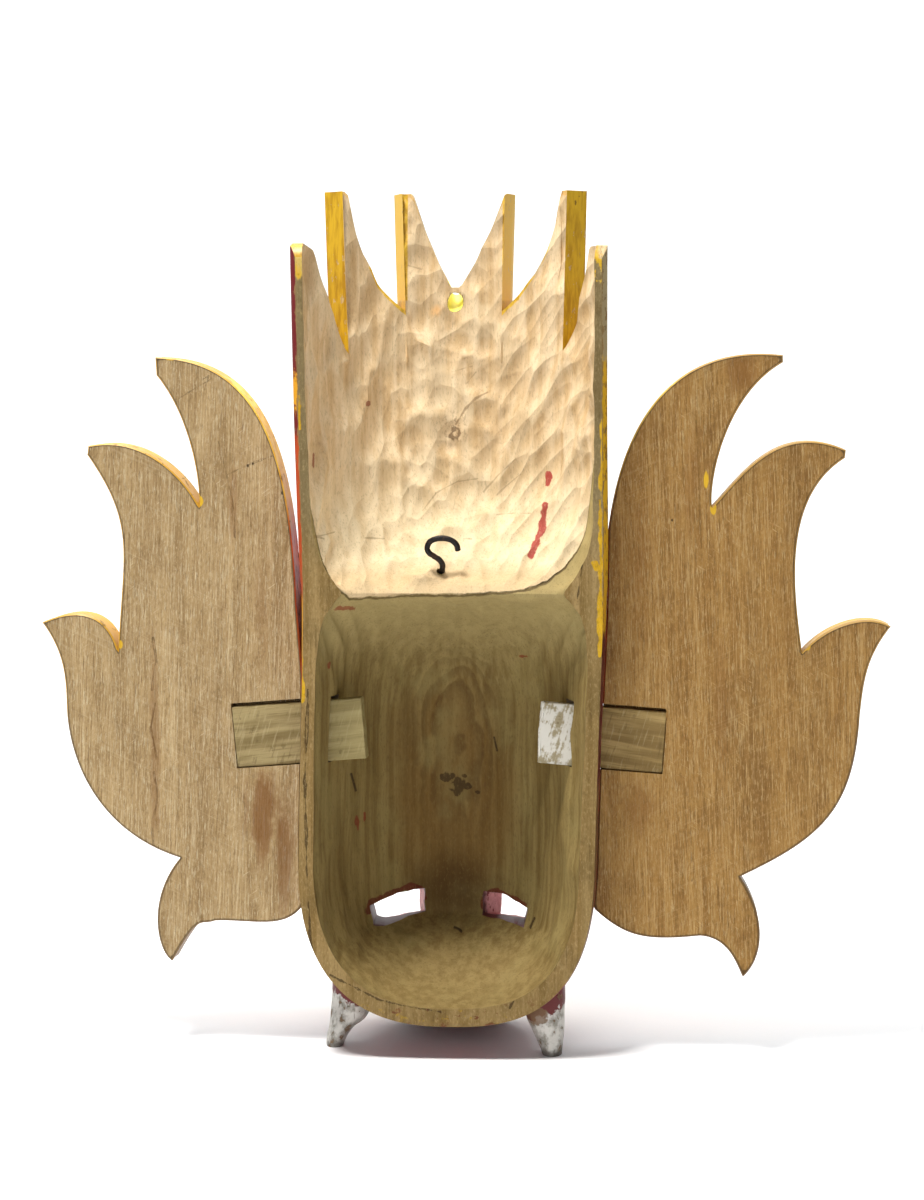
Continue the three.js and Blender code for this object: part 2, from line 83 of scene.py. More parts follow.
# Sizes of the boards, the tenons and the wire
BOARD_THICKNESS = 15
BOARD_DEPTH = 20
BOARD_ROOT = 78
BOARD_SWEEP = {1: math.radians(6), -1: math.radians(-2)}
LEFT_TIP = (145.2, 229.2)
GAP = 0.4
ROOT_GAP = 0.06
TENON_HEIGHT = 33
TENON_THICKNESS = 8
TENON_ROOM = 0.45
TENON_ROOM_ABOVE = 1.8
WIRE_RADIUS = 1.6

# Where the modelling axis and the rim's plane lie in the frame, in metres
AXIS_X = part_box("left_flame_board")[1][0] - (BOARD_ROOT + LEFT_TIP[0] * math.cos(BOARD_SWEEP[1])) * MM
RIM_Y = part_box("carved_mask")[1][1]


def place(points):
    """Millimetres as (x, depth, z) in columns, turned into metres in the frame."""
    points = np.asarray(points, float)
    return np.stack([points[..., 0] * MM + AXIS_X, RIM_Y - points[..., 1] * MM, points[..., 2] * MM], -1)


def profile(pairs):
    """A smooth line through a few (place, value) pairs: a cubic on each span, with the slope at a pair taken
    from its two neighbours."""
    at, value = np.array(pairs, float).T
    near = np.arange(len(at))
    before, after = np.maximum(near - 1, 0), np.minimum(near + 1, len(at) - 1)
    slope = (value[after] - value[before]) / (at[after] - at[before])

    def line(v):
        v = np.clip(v, at[0], at[-1])
        i = np.clip(np.searchsorted(at, v, side="right") - 1, 0, len(at) - 2)
        step = at[i + 1] - at[i]
        t = (v - at[i]) / step
        bend = step * t * (1 - t) * ((1 - t) * slope[i] - t * slope[i + 1])
        return value[i] + (value[i + 1] - value[i]) * t * t * (3 - 2 * t) + bend

    return line


def smooth(t):
    """0 below 0 and 1 above 1, with an even rise between."""
    t = np.clip(t, 0, 1)
    return t * t * (3 - 2 * t)


# The block was roughed out by eye, so its middle wanders a little from side to side.
sway = profile([(18, 0.5), (60, 2.3), (97, 2.8), (166, 1.2), (246, -0.8), (340, 0.6), (419, 1.5)])
rim_growth = profile([(166, 0), (300, 0.3), (CROWN_TOP, 0.8)])
side_flare = profile([(18, 1.5), (200, 2), (250, 2.5), (300, 2.8), (CROWN_TOP, 3.2)])
front_depth = profile([
    (18, 84), (34, 92), (52, 92), (70, 92), (88, 94), (108, 98), (150, 96), (190, 97), (215, 98),
    (240, 93), (262, 80), (300, 73), (380, 76), (CROWN_TOP, 83),
])
side_depth = profile([(18, 34), (235, 34), (262, 16), (300, 8), (CROWN_TOP, 8)])
hollow_depth = profile([
    (28, 0), (34, 24), (44, 45), (54, 64), (60, 74), (62.5, 77.5), (72, 78), (110, 79), (180, 78), (205, 72),
    (225, 56), (238, 32), (245, 13), (248, 6), (252, 9), (262, 24), (278, 41), (305, 53), (380, 61), (470, 69),
])
hollow_width = profile([
    (JAW_TOP, CAVITY_HALF_WIDTH), (200, 71), (222, 70), (236, 67), (245, 61), (249, 58), (253, 60),
    (262, 66), (272, 70), (290, 73), (470, 75.5),
])
hollow_lean = profile([(28, 0.02), (60, 0.08), (230, 0.09), (262, 0.03), (CROWN_TOP, 0.03)])


def jaw_width(z, half, bottom):
    """Half width of the jaw's rounded outline: a superellipse quarter from JAW_TOP down to its bottom."""
    t = np.clip((JAW_TOP - z) / (JAW_TOP - bottom), 0, 1)
    return half * (1 - t**JAW_POWER) ** (1 / JAW_POWER)


def rim_width(z):
    return jaw_width(z, RIM_HALF_WIDTH + rim_growth(z), RIM_BOTTOM)


def block_width(z):
    rim = rim_width(z)
    return rim + side_flare(z) * np.minimum(rim / 12, 1)


def cavity_width(z):
    return np.where(z < JAW_TOP, jaw_width(z, CAVITY_HALF_WIDTH, CAVITY_BOTTOM), hollow_width(z))


def front_surface(x, z):
    """Depth of the block's front at a place seen from the front."""
    side = side_depth(z)
    share = np.minimum(np.abs(x) / block_width(z), 1)
    return side + (front_depth(z) - side) * (1 - share**SECTION_POWER) ** (1 / SECTION_POWER)


def ray_axis(z):
    """How far behind the rim the rays start: further back at the face, whose ledge is shallow, than at the
    crown, whose gaps are cut from an axis close behind it."""
    return 40 - 30 * smooth((z - 300) / 60)


def bisect(outside, shape):
    """Length of each ray to a surface, by halving: outside(r) is true beyond it."""
    near, far = np.zeros(shape), np.full(shape, 220.0)
    for _ in range(34):
        middle = (near + far) / 2
        beyond = outside(middle)
        far = np.where(beyond, middle, far)
        near = np.where(beyond, near, middle)
    return (near + far) / 2


def block_reach(angle, z):
    """Ray length to the block's outside. The section is a straight flare out of the rim's edge, then a
    superellipse from the side round to the front."""
    axis = ray_axis(z)
    rim, wide, side, front = rim_width(z), block_width(z), side_depth(z), front_depth(z)

    def outside(r):
        x, depth = r * np.sin(angle), r * np.cos(angle) - axis
        forward = np.maximum(depth - side, 0) / (front - side)
        return (np.abs(x) / np.maximum(wide, 1e-6)) ** SECTION_POWER + forward**SECTION_POWER > 1

    flare = (wide - rim) / np.minimum(SIDE_SEAT, side * 0.6)
    turn = np.sin(np.abs(angle)) - flare * np.cos(angle)
    straight = np.where(turn > 1e-6, (rim - flare * axis) / np.maximum(turn, 1e-6), 1e3)
    straight = np.where(straight > 0, straight, 1e3)
    return np.minimum(bisect(outside, angle.shape), straight)


def hollow_reach(angle, z):
    """Ray length to the hollow: a superellipse from rim to rim whose sides lean in as they go deeper."""
    axis, wide, deep, lean = ray_axis(z), cavity_width(z), hollow_depth(z), hollow_lean(z)

    def outside(r):
        x, depth = r * np.sin(angle), r * np.cos(angle) - axis
        width = np.maximum(wide * (1 - lean * smooth(depth / 30)), 1e-6)
        forward = np.maximum(depth, 0) / np.maximum(deep, 1e-6)
        return (np.abs(x) / width) ** HOLLOW_POWER + forward**HOLLOW_POWER > 1

    return bisect(outside, angle.shape)


# The crown's gaps, as (angle, height) round an axis this far behind the rim
INNER_AXIS = 10
OUTER_AXIS = 15
INNER_GAPS = {
    1: [(20.6, 396), (25.4, 401), (32, 411), (38.5, 427), (42, 440), (45, 460)],
    -1: [(20.6, 396), (27.5, 405), (35, 416), (40.2, 428), (44.8, 442), (47.4, 460)],
}
OUTER_GAPS = {
    1: [(45.2, 373), (51.6, 392), (55.5, 403), (60, 416), (64, 428), (70, 430.5), (77, 428.5), (80, 421)],
    -1: [(48.4, 375), (56.5, 391), (61.5, 409), (65.5, 421), (68.5, 428.5), (76, 429), (80, 420)],
}
MIDDLE_GAP = [(-26, 460), (-19, 441), (-10.5, 423), (-2, 409), (3, 409), (9.5, 421), (17, 439), (23.5, 460)]
CROWN_REACH = 85


def about_inner(angle):
    """An angle round the outer gaps' axis, as seen from the inner gaps' axis, in degrees."""
    turn = np.radians(angle)
    x = np.minimum(CROWN_REACH * np.sin(turn), RIM_HALF_WIDTH + 2)
    depth = x / np.tan(turn) - OUTER_AXIS
    return np.degrees(np.arctan2(x, depth + INNER_AXIS))


def crown_height(angle, x):
    """Height of the crown where a ray leaves it: each flame has one upright edge and one hollow slope, and the
    middle gap is sawn straight through, so it goes by x."""
    turn = np.degrees(np.abs(angle))
    top = np.full(angle.shape, float(CROWN_TOP))
    for side in (1, -1):
        here = np.sign(angle) == side
        inner = np.array(INNER_GAPS[side])
        outer = np.array([(about_inner(a), z) for a, z in OUTER_GAPS[side]])
        slope = np.minimum(np.interp(turn, inner[:, 0], inner[:, 1]), CROWN_TOP)
        top = np.where(here & (turn >= inner[0, 0]), slope, top)
        top = np.where(here & (turn >= outer[0, 0]), np.interp(turn, outer[:, 0], outer[:, 1]), top)
    gap = np.array(MIDDLE_GAP)
    return np.minimum(top, np.interp(x, gap[:, 0], gap[:, 1]))


ROWS = 280
JAW_ROWS = 64
CROWN_ROWS = 44
CROWN_FOOT = 368
COLUMNS = 157
BAND = 3


def columns():
    """Shares of the way round, from the left rim (1) to the right (-1). Each upright edge of the crown has a
    column close on either side of it, and the list is the same for both sides, so that the jaw's seam closes."""
    share = np.linspace(-1, 1, COLUMNS)
    widest = math.degrees(math.atan2(rim_width(419), INNER_AXIS))
    edges = [INNER_GAPS[1][0][0]] + [float(about_inner(OUTER_GAPS[side][0][0])) for side in (1, -1)]
    edges = np.array(edges + [-edge for edge in edges]) / widest
    clear = np.min(np.abs(share[:, None] - edges), 1) > 0.4 * (share[1] - share[0])
    return np.sort(np.concatenate([share[clear], edges - 5e-4, edges + 5e-4]))[::-1]


def jaw_rows(bottom, count):
    """Heights from the bottom to the jaw's top, evenly spread round the superellipse quarter."""
    turn = np.linspace(np.pi / 2, 0, count, endpoint=False)
    return np.maximum(JAW_TOP - (JAW_TOP - bottom) * np.sin(turn) ** (2 / JAW_POWER), bottom + 1e-4)


def even_rows(low, high, count, line):
    """Heights spread evenly along a depth profile."""
    fine = np.linspace(low, high, 4000)
    pace = np.hypot(1, np.gradient(line(fine), fine))
    run = np.concatenate([[0], np.cumsum((pace[1:] + pace[:-1]) / 2)])
    return np.interp(np.linspace(0, run[-1], count), run, fine)


def stretched(rows, top):
    """Rows for every column: common ones up to the crown's foot, then even ones up to that column's top."""
    low = np.repeat(rows[:, None], len(top), 1)
    t = np.linspace(0, 1, CROWN_ROWS + 1)[1:, None]
    return np.concatenate([low, CROWN_FOOT + (top[None] - CROWN_FOOT) * t])


def section_points(reach, angle, z):
    """Points where rays at these angles and heights end, as (x, depth, z)."""
    r = reach(angle, z)
    return np.stack([sway(z) + r * np.sin(angle), r * np.cos(angle) - ray_axis(z), z], -1)


def grid_normals(points):
    """Unit normals of a grid of points, from the cross product of its two directions."""
    down, along = np.gradient(points, axis=0), np.gradient(points, axis=1)
    normal = np.cross(along, down)
    return normal / np.maximum(np.linalg.norm(normal, axis=-1, keepdims=True), 1e-9)


def outward(points, behind):
    """Unit normals of a grid that point away from an upright line this far behind the rim."""
    normal = grid_normals(points)
    away = (points - np.array([0, -behind, 0])) * np.array([1, 1, 0])
    return normal * np.sign(np.sum(normal * away))


def arc_length(points):
    """Length along each row of a grid, from its middle column."""
    step = np.linalg.norm(np.diff(points, axis=1), axis=-1)
    run = np.concatenate([np.zeros_like(step[:, :1]), np.cumsum(step, 1)], 1)
    return run - run[:, run.shape[1] // 2][:, None]


def hashed(i, j, seed):
    """A fixed random number from 0 to 1 for each whole pair (i, j)."""
    v = np.sin(i * 127.1 + j * 311.7 + seed * 74.7) * 43758.5453
    return v - np.floor(v)


def value_noise(x, y, seed=0):
    """Smooth noise from -1 to 1: random numbers on a unit grid, blended between its corners."""
    i, j = np.floor(x), np.floor(y)
    u, v = smooth(x - i), smooth(y - j)
    low = hashed(i, j, seed) * (1 - u) + hashed(i + 1, j, seed) * u
    high = hashed(i, j + 1, seed) * (1 - u) + hashed(i + 1, j + 1, seed) * u
    return 2 * (low * (1 - v) + high * v) - 1


def gouge_cuts(u, v, width, length, seed):
    """How far gouge strokes cut in, from about 0 to 1. Each stroke is a scoop in a jittered cell, and the ridge
    between two scoops lies where they are equally deep."""
    column = np.floor(u / width)
    best = np.full(u.shape, -9.0)
    for i in (-2, -1, 0, 1, 2):
        shift = hashed(column + i, 0, seed + 5) * length
        row = np.floor((v + shift) / length)
        for j in (-1, 0, 1):
            a, b = column + i, row + j
            centre_u = (a + 0.2 + 0.6 * hashed(a, b, seed)) * width
            centre_v = (b + 0.15 + 0.7 * hashed(a, b, seed + 1)) * length - shift
            lean = (hashed(a, b, seed + 2) - 0.5) * 0.6 + 0.0085 * np.maximum(centre_u - 12, 0)
            du, dv = u - centre_u, v - centre_v
            across = (du * np.cos(lean) - dv * np.sin(lean)) / (width * 0.9)
            along = (du * np.sin(lean) + dv * np.cos(lean)) / (length * 0.85)
            deep = 0.45 + 0.55 * hashed(a, b, seed + 3)
            best = np.maximum(best, deep - across**2 - along**2 * (1.6 - np.sign(along) * 0.7))
    return np.clip(best + 0.5, 0, 1.5)


def mesh_object(name, points, faces, materials, slots=None, layers=None, flip=True):
    """A mesh object from points in metres and faces, with numbers carried on its points, its doubles merged,
    its faces turned outwards and its sharp edges marked."""
    mesh = bpy.data.meshes.new(name)
    mesh.from_pydata(np.asarray(points).tolist(), [], faces if isinstance(faces, list) else faces.tolist())
    for material in materials:
        mesh.materials.append(material)
    if slots is not None:
        mesh.polygons.foreach_set("material_index", np.asarray(slots, dtype=np.int32))
    for key, values in (layers or {}).items():
        mesh.attributes.new(key, "FLOAT", "POINT").data.foreach_set("value", np.asarray(values, dtype=np.float32))
    work = bmesh.new()
    work.from_mesh(mesh)
    bmesh.ops.delete(work, geom=[v for v in work.verts if not v.link_faces], context="VERTS")
    bmesh.ops.remove_doubles(work, verts=work.verts, dist=2e-6)
    if flip and work.calc_volume(signed=True) < 0:
        bmesh.ops.reverse_faces(work, faces=work.faces)
    work.to_mesh(mesh)
    work.free()
    mesh.polygons.foreach_set("use_smooth", np.ones(len(mesh.polygons), dtype=bool))
    mesh.set_sharp_from_angle(angle=math.radians(40))
    piece = bpy.data.objects.new(name, mesh)
    bpy.context.scene.collection.objects.link(piece)
    return piece


def quads(grid, closed_rows=False, closed_columns=False):
    """Faces between neighbouring entries of a grid of point numbers."""
    if closed_rows:
        grid = np.concatenate([grid, grid[:1]])
    if closed_columns:
        grid = np.concatenate([grid, grid[:, :1]], 1)
    corners = [grid[:-1, :-1], grid[:-1, 1:], grid[1:, 1:], grid[1:, :-1]]
    return np.stack(corners, -1).reshape(-1, 4)


# The face, carved on the front: domes and ridges raised over the block, in (x, z) seen from the front


def dome(x, z, centre, radii):
    """Depth of an ellipsoid's front, far back outside its outline."""
    cx, depth, cz = centre
    inside = 1 - ((x - cx) / radii[0]) ** 2 - ((z - cz) / radii[2]) ** 2
    return np.where(inside > 0, depth + radii[1] * np.sqrt(np.maximum(inside, 0)), -1e3)


def line_distance(x, z, line):
    """Distance to a polyline, and the share of the way along it."""
    line = np.array(line, float)
    best, share = np.full(x.shape, 1e3), np.zeros(x.shape)
    for k in range(len(line) - 1):
        a, step = line[k], line[k + 1] - line[k]
        t = np.clip(((x - a[0]) * step[0] + (z - a[1]) * step[1]) / (step @ step), 0, 1)
        gap = np.hypot(x - a[0] - t * step[0], z - a[1] - t * step[1])
        share = np.where(gap < best, (k + t) / (len(line) - 1), share)
        best = np.minimum(best, gap)
    return best, share


def curve_points(points, count=16):
    """Points on a Catmull-Rom curve through a few points of any dimension."""
    p = np.array(points, float)
    p = np.concatenate([[2 * p[0] - p[1]], p, [2 * p[-1] - p[-2]]])
    t = np.linspace(0, len(points) - 1, count)
    i = np.minimum(t.astype(int), len(points) - 2)
    f = (t - i)[:, None]
    a, b, c, d = p[i], p[i + 1], p[i + 2], p[i + 3]
    return 0.5 * (2 * b + (c - a) * f + (2 * a - 5 * b + 4 * c - d) * f**2 + (3 * b - a - 3 * c + d) * f**3)


def ridge(x, z, line, wide, high, narrow=None, low=None):
    """Height of a rounded ridge along a line, and how far inside it a place is, in millimetres."""
    gap, share = line_distance(x, z, curve_points(line))
    width = wide + ((narrow if narrow is not None else wide) - wide) * share
    height = high + ((low if low is not None else high) - high) * share
    return height * np.sqrt(np.maximum(1 - (gap / width) ** 2, 0)), width - gap


EYE = (35, 87, 172)
EYE_RADIUS = 20
EYE_BULGE = 21
BROW = [(8, 190), (24, 203), (44, 207), (62, 196), (71, 178)]
UPPER_LIP = [(-64, 62), (-48, 84), (-24, 96), (0, 99), (24, 96), (48, 84), (64, 62)]
LOWER_LIP = [(-57, 50), (-38, 43), (-18, 40), (0, 39), (18, 40), (38, 43), (57, 50)]
RIBS = [
    [(12, 262), (20, 320), (24, 380), (27, 440)],
    [(32, 262), (44, 310), (53, 365), (60, 440)],
    [(56, 260), (68, 300), (76, 350), (79, 405)],
]
LID_RADIUS = 21.5
LID_WIDTH = 4.2
BOSS_SPACING = 26
BOSS_RADIUS = 7.5
FAR_OFF = -99.0
JEWEL = (0, 73, 300)


def band_height(x):
    """Height of the headband's middle, which rises towards the sides."""
    return 228 + 0.0012 * x * x


def carve_front(points):
    """Raises the face over the block's outside. Returns the points and, for each kind of feature, how far
    inside it each point is."""
    x, depth, z = points[..., 0].copy(), points[..., 1].copy(), points[..., 2].copy()
    facing = smooth((depth - 30) / 20)
    base = depth.copy()
    marks = {}

    def mark(name, inside):
        marks[name] = np.maximum(marks.get(name, FAR_OFF), inside)

    lower, upper = (np.interp(x, *np.array(lip, float).T) for lip in (LOWER_LIP, UPPER_LIP))
    mouth = np.minimum(np.minimum(z - lower, upper - z), 60 - np.abs(x))
    depth = depth - 4 * smooth((mouth - 2) / 5) * facing
    for side in (1, -1):
        cheek = dome(x, z, (side * 53, 68, 113), (21, 19, 21))
        depth = np.maximum(depth, cheek)
        eye = dome(x, z, (side * EYE[0], EYE[1], EYE[2]), (EYE_RADIUS, EYE_BULGE, EYE_RADIUS))
        depth = np.maximum(depth, eye)
        turn = np.hypot(x - side * EYE[0], z - EYE[2])
        lid = np.sqrt(np.maximum(1 - ((turn - LID_RADIUS) / LID_WIDTH) ** 2, 0))
        lid = lid * (4 + 1.5 * np.clip((z - EYE[2]) / 20, -1, 1))
        depth = np.where(lid > 0, np.maximum(depth, base + lid), depth)
        mark("lid", LID_WIDTH - np.abs(turn - LID_RADIUS))
        brow, inside = ridge(x, z, [(side * a, b) for a, b in BROW], 7.5, 9.5, 4.5, 4)
        hairs = 0.7 * np.sin((x * side * 0.8 + z * 0.55) * 1.7) * smooth(inside / 3)
        depth = np.where(inside > 0, np.maximum(depth, base + brow + 1 + hairs), depth)
        mark("brow", inside)
        cheek_line = [(side * 20, 108), (side * 34, 100), (side * 52, 82), (side * 66, 58)]
        fold, inside = ridge(x, z, cheek_line, 4, 4, 3, 2)
        depth = np.where(inside > 0, np.maximum(depth, base + fold), depth)
        wrinkle, inside = ridge(x, z, [(side * 6, 212), (side * 22, 217), (side * 44, 217)], 3, 2.5, 2, 1)
        depth = np.where(inside > 0, np.maximum(depth, base + wrinkle), depth)
        nostril = dome(x, z, (side * 19, 100, 117), (12, 12, 10.5))
        depth = np.maximum(depth, nostril)
        mark("nose", np.where(nostril > FAR_OFF, 4, -9))
        for line in RIBS:
            rib, inside = ridge(x, z, [(side * a, b) for a, b in line], 6.5, 5.2, 3, 2.4)
            depth = np.where(inside > 0, depth + rib, depth)
            mark("rib", inside)
    bridge_depth = np.interp(z, [106, 124, 142, 166, 190], [96, 106, 104, 98, 92])
    taper = smooth((190 - z) / 84)
    bridge = np.where((z > 104) & (z < 196), 1 - (x / (8 + 9 * taper)) ** 2, 0)
    nose = bridge_depth + (10 + 9 * taper) * np.sqrt(np.maximum(bridge, 0)) - 1
    depth = np.where(bridge > 0, np.maximum(depth, nose), depth)
    depth = np.maximum(depth, dome(x, z, (0, 110, 122), (15, 14.6, 13)))
    for line in (UPPER_LIP, LOWER_LIP):
        lip, inside = ridge(x, z, line, 6, 8)
        depth = np.where(inside > 0, np.maximum(depth, base + lip + 1), depth)
        mark("lip", inside)
    depth = np.maximum(depth, dome(x, z, (0, 90, 60), (12.5, 14, 13)))
    marks["tongue"] = 12.5 - np.hypot(x, (z - 60) * 0.96)
    marks["mouth"] = mouth
    depth = np.maximum(depth, dome(x, z, (0, 74, 18), (33, 22.5, 24)))
    band = 9 - np.abs(z - band_height(x))
    swell = 5 * np.sqrt(np.maximum(1 - (1 - band / 9) ** 2, 0)) * (band > 0)
    marks["band"] = band
    for i in (-2, -1, 0, 1, 2):
        cx = BOSS_SPACING * i
        turn = np.hypot(x - cx, z - band_height(cx))
        boss = 3 + 6 * np.sqrt(np.maximum(1 - (turn / BOSS_RADIUS) ** 2, 0))
        depth = np.where(turn < BOSS_RADIUS, np.maximum(depth, base + boss), depth)
        mark("boss", BOSS_RADIUS - turn)
    depth = np.maximum(depth, dome(x, z, JEWEL, (11, 9, 26)))
    marks["jewel"] = 11 * (1 - np.hypot((x - JEWEL[0]) / 11, (z - JEWEL[2]) / 26))
    moved = points.copy()
    moved[..., 1] = np.minimum(base + (np.maximum(depth, base + swell) - base) * facing, FRONT_LIMIT)
    underside = np.maximum(1 - (x / 33) ** 2 - ((points[..., 1] - 74) / 23) ** 2, 0)
    chin_floor = np.maximum(18 - 24 * np.sqrt(underside), 0)
    moved[..., 2] = np.where((underside > 0) & (z < 18), np.minimum(moved[..., 2], chin_floor), moved[..., 2])
    moved[..., 2] = np.maximum(moved[..., 2], 0)
    for name in marks:
        marks[name] = np.where(facing > 0.3, marks[name], FAR_OFF)
    return moved, marks


def camera_axes():
    """The camera's place and its forward, right and up directions."""
    eye, aim = np.array(CAMERA_PLACE), np.array(CAMERA_TARGET)
    forward = (aim - eye) / np.linalg.norm(aim - eye)
    right = np.cross(forward, [0, 0, 1])
    right /= np.linalg.norm(right)
    return eye, forward, right, np.cross(right, forward)


def seen(px, py, depth):
    """The place, as (x, z) in millimetres, that the camera sees at a pixel of the photograph, at this depth."""
    eye, forward, right, up = camera_axes()
    px, py, depth = np.broadcast_arrays(*(np.asarray(v, float) for v in (px, py, depth)))
    across, rise = (px - PHOTO[0] / 2) / FOCAL, (PHOTO[1] / 2 - py) / FOCAL
    ray = forward + across[..., None] * right + rise[..., None] * up
    reach = (RIM_Y - depth * MM - eye[1]) / ray[..., 1]
    spot = eye + ray * reach[..., None]
    return np.stack([(spot[..., 0] - AXIS_X) / MM, spot[..., 2] / MM], -1)


def pictured(points):
    """The pixel of the photograph, as (x, y), at which the camera sees each place."""
    eye, forward, right, up = camera_axes()
    ray = place(points) - eye
    away = ray @ forward
    return PHOTO[0] / 2 + FOCAL * (ray @ right) / away, PHOTO[1] / 2 - FOCAL * (ray @ up) / away


def traced(pixels, depth):
    """A line drawn on the photograph, as places at one depth."""
    return seen(*np.array(pixels, float).T, depth)


# The camera: the photograph's size and focal length in pixels, its place and what it looks at in metres
PHOTO = (924, 1200)
FOCAL = 2404
CAMERA_PLACE = (-0.05395, 1.30401, 0.37673)
CAMERA_TARGET = (-0.00189, 0.06195, 0.24607)

# Where the fresh wood of the crown ends and the stained wood begins, followed round the ledge on the photograph
FRESH_EDGE = [
    (305, 460), (310, 503), (315, 530), (322, 560), (334, 584), (349, 598), (372, 597), (420, 594), (460, 594),
    (505, 592), (530, 588), (547, 581), (566, 566), (579, 547), (586, 530), (590, 500), (594, 460),
]
PIXEL = 0.515  # millimetres that a pixel spans on the mask


def carve_hollow(points):
    """Cuts the gouge facets into the hollow: long strokes in the crown, shallow ones in the face. Returns the
    points and the distance to the rim's edge."""
    z = points[..., 2]
    heights = np.linspace(20, 480, 2000)
    run = np.concatenate([[0], np.cumsum(np.hypot(1, np.diff(hollow_depth(heights)) / np.diff(heights)))])
    u = arc_length(points[..., :2])
    v = np.interp(z, heights, run * (heights[1] - heights[0]))
    sizes = bpy.context.scene.mask_sizes
    crown = smooth((z - LEDGE_HEIGHT - 3) / 6)
    wide, long = sizes.gouge_width / MM, sizes.gouge_length / MM
    middle = smooth((30 - np.abs(u + 3)) / 10)
    strokes = gouge_cuts(u, v, wide, long, 3) * (1 - middle) + gouge_cuts(u, v, wide * 1.15, long * 0.52, 6) * middle
    shallow = gouge_cuts(u + 3, v, 15, 46, 11)
    rough = smooth((value_noise(u / 13, v / 16, 9) - 0.1) * 3)
    chatter = 0.3 * value_noise(u / 4.5, v / 5, 7) * rough
    facet = u / 14.5 + 0.25 * value_noise(u / 30, v / 40, 8)
    scallop = 1 - 4 * (facet - np.floor(facet) - 0.5) ** 2
    under = smooth((z - 196) / 12) * smooth((246 - z) / 8)
    cut = crown * (sizes.gouge_depth / MM * (strokes - 0.6) + chatter)
    cut += (1 - crown) * (sizes.facet_depth / MM * (shallow - 0.5) + 1.1 * under * (scallop - 0.5))
    cut += 0.6 * value_noise(u / 17, v / 26, 4)
    for cx, cz, wide, tall, deep in DENTS:
        cut += deep * np.exp(-(((points[..., 0] - cx) / wide) ** 2) - ((z - cz) / tall) ** 2)
    edge = np.minimum(np.abs(u - u[:, :1]), np.abs(u - u[:, -1:]))
    shear = np.gradient(z, axis=1) / np.maximum(np.abs(np.gradient(u, axis=1)), 0.05)
    fade = (0.2 + 0.8 * smooth(edge / 6)) / (1 + (shear / 2) ** 2)
    bottom = smooth((z - CAVITY_BOTTOM - 1) / 8)
    carved = points + outward(points, 60) * (cut * fade * bottom)[..., None]
    carved[..., 1] = np.maximum(carved[..., 1], 0)
    return carved, edge


# Dents in the hollow: x, z, half width, half height and depth
DENTS = [(1, 322, 3.4, 4.2, 2.2), (5, 332, 2.2, 5.5, 1.2), (-1, 335, 3.5, 2.4, 1.0), (-1, 56, 3.0, 1.2, 2.0)]
OUTSIDE, HOLLOW, RIM, CUT, SLOT = range(5)
REACH = 14


def near(distance):
    """Closeness to something, from REACH at it down to 0 a little way off: 0 is what a new point gets."""
    return np.clip(REACH - distance, 0, 2 * REACH)


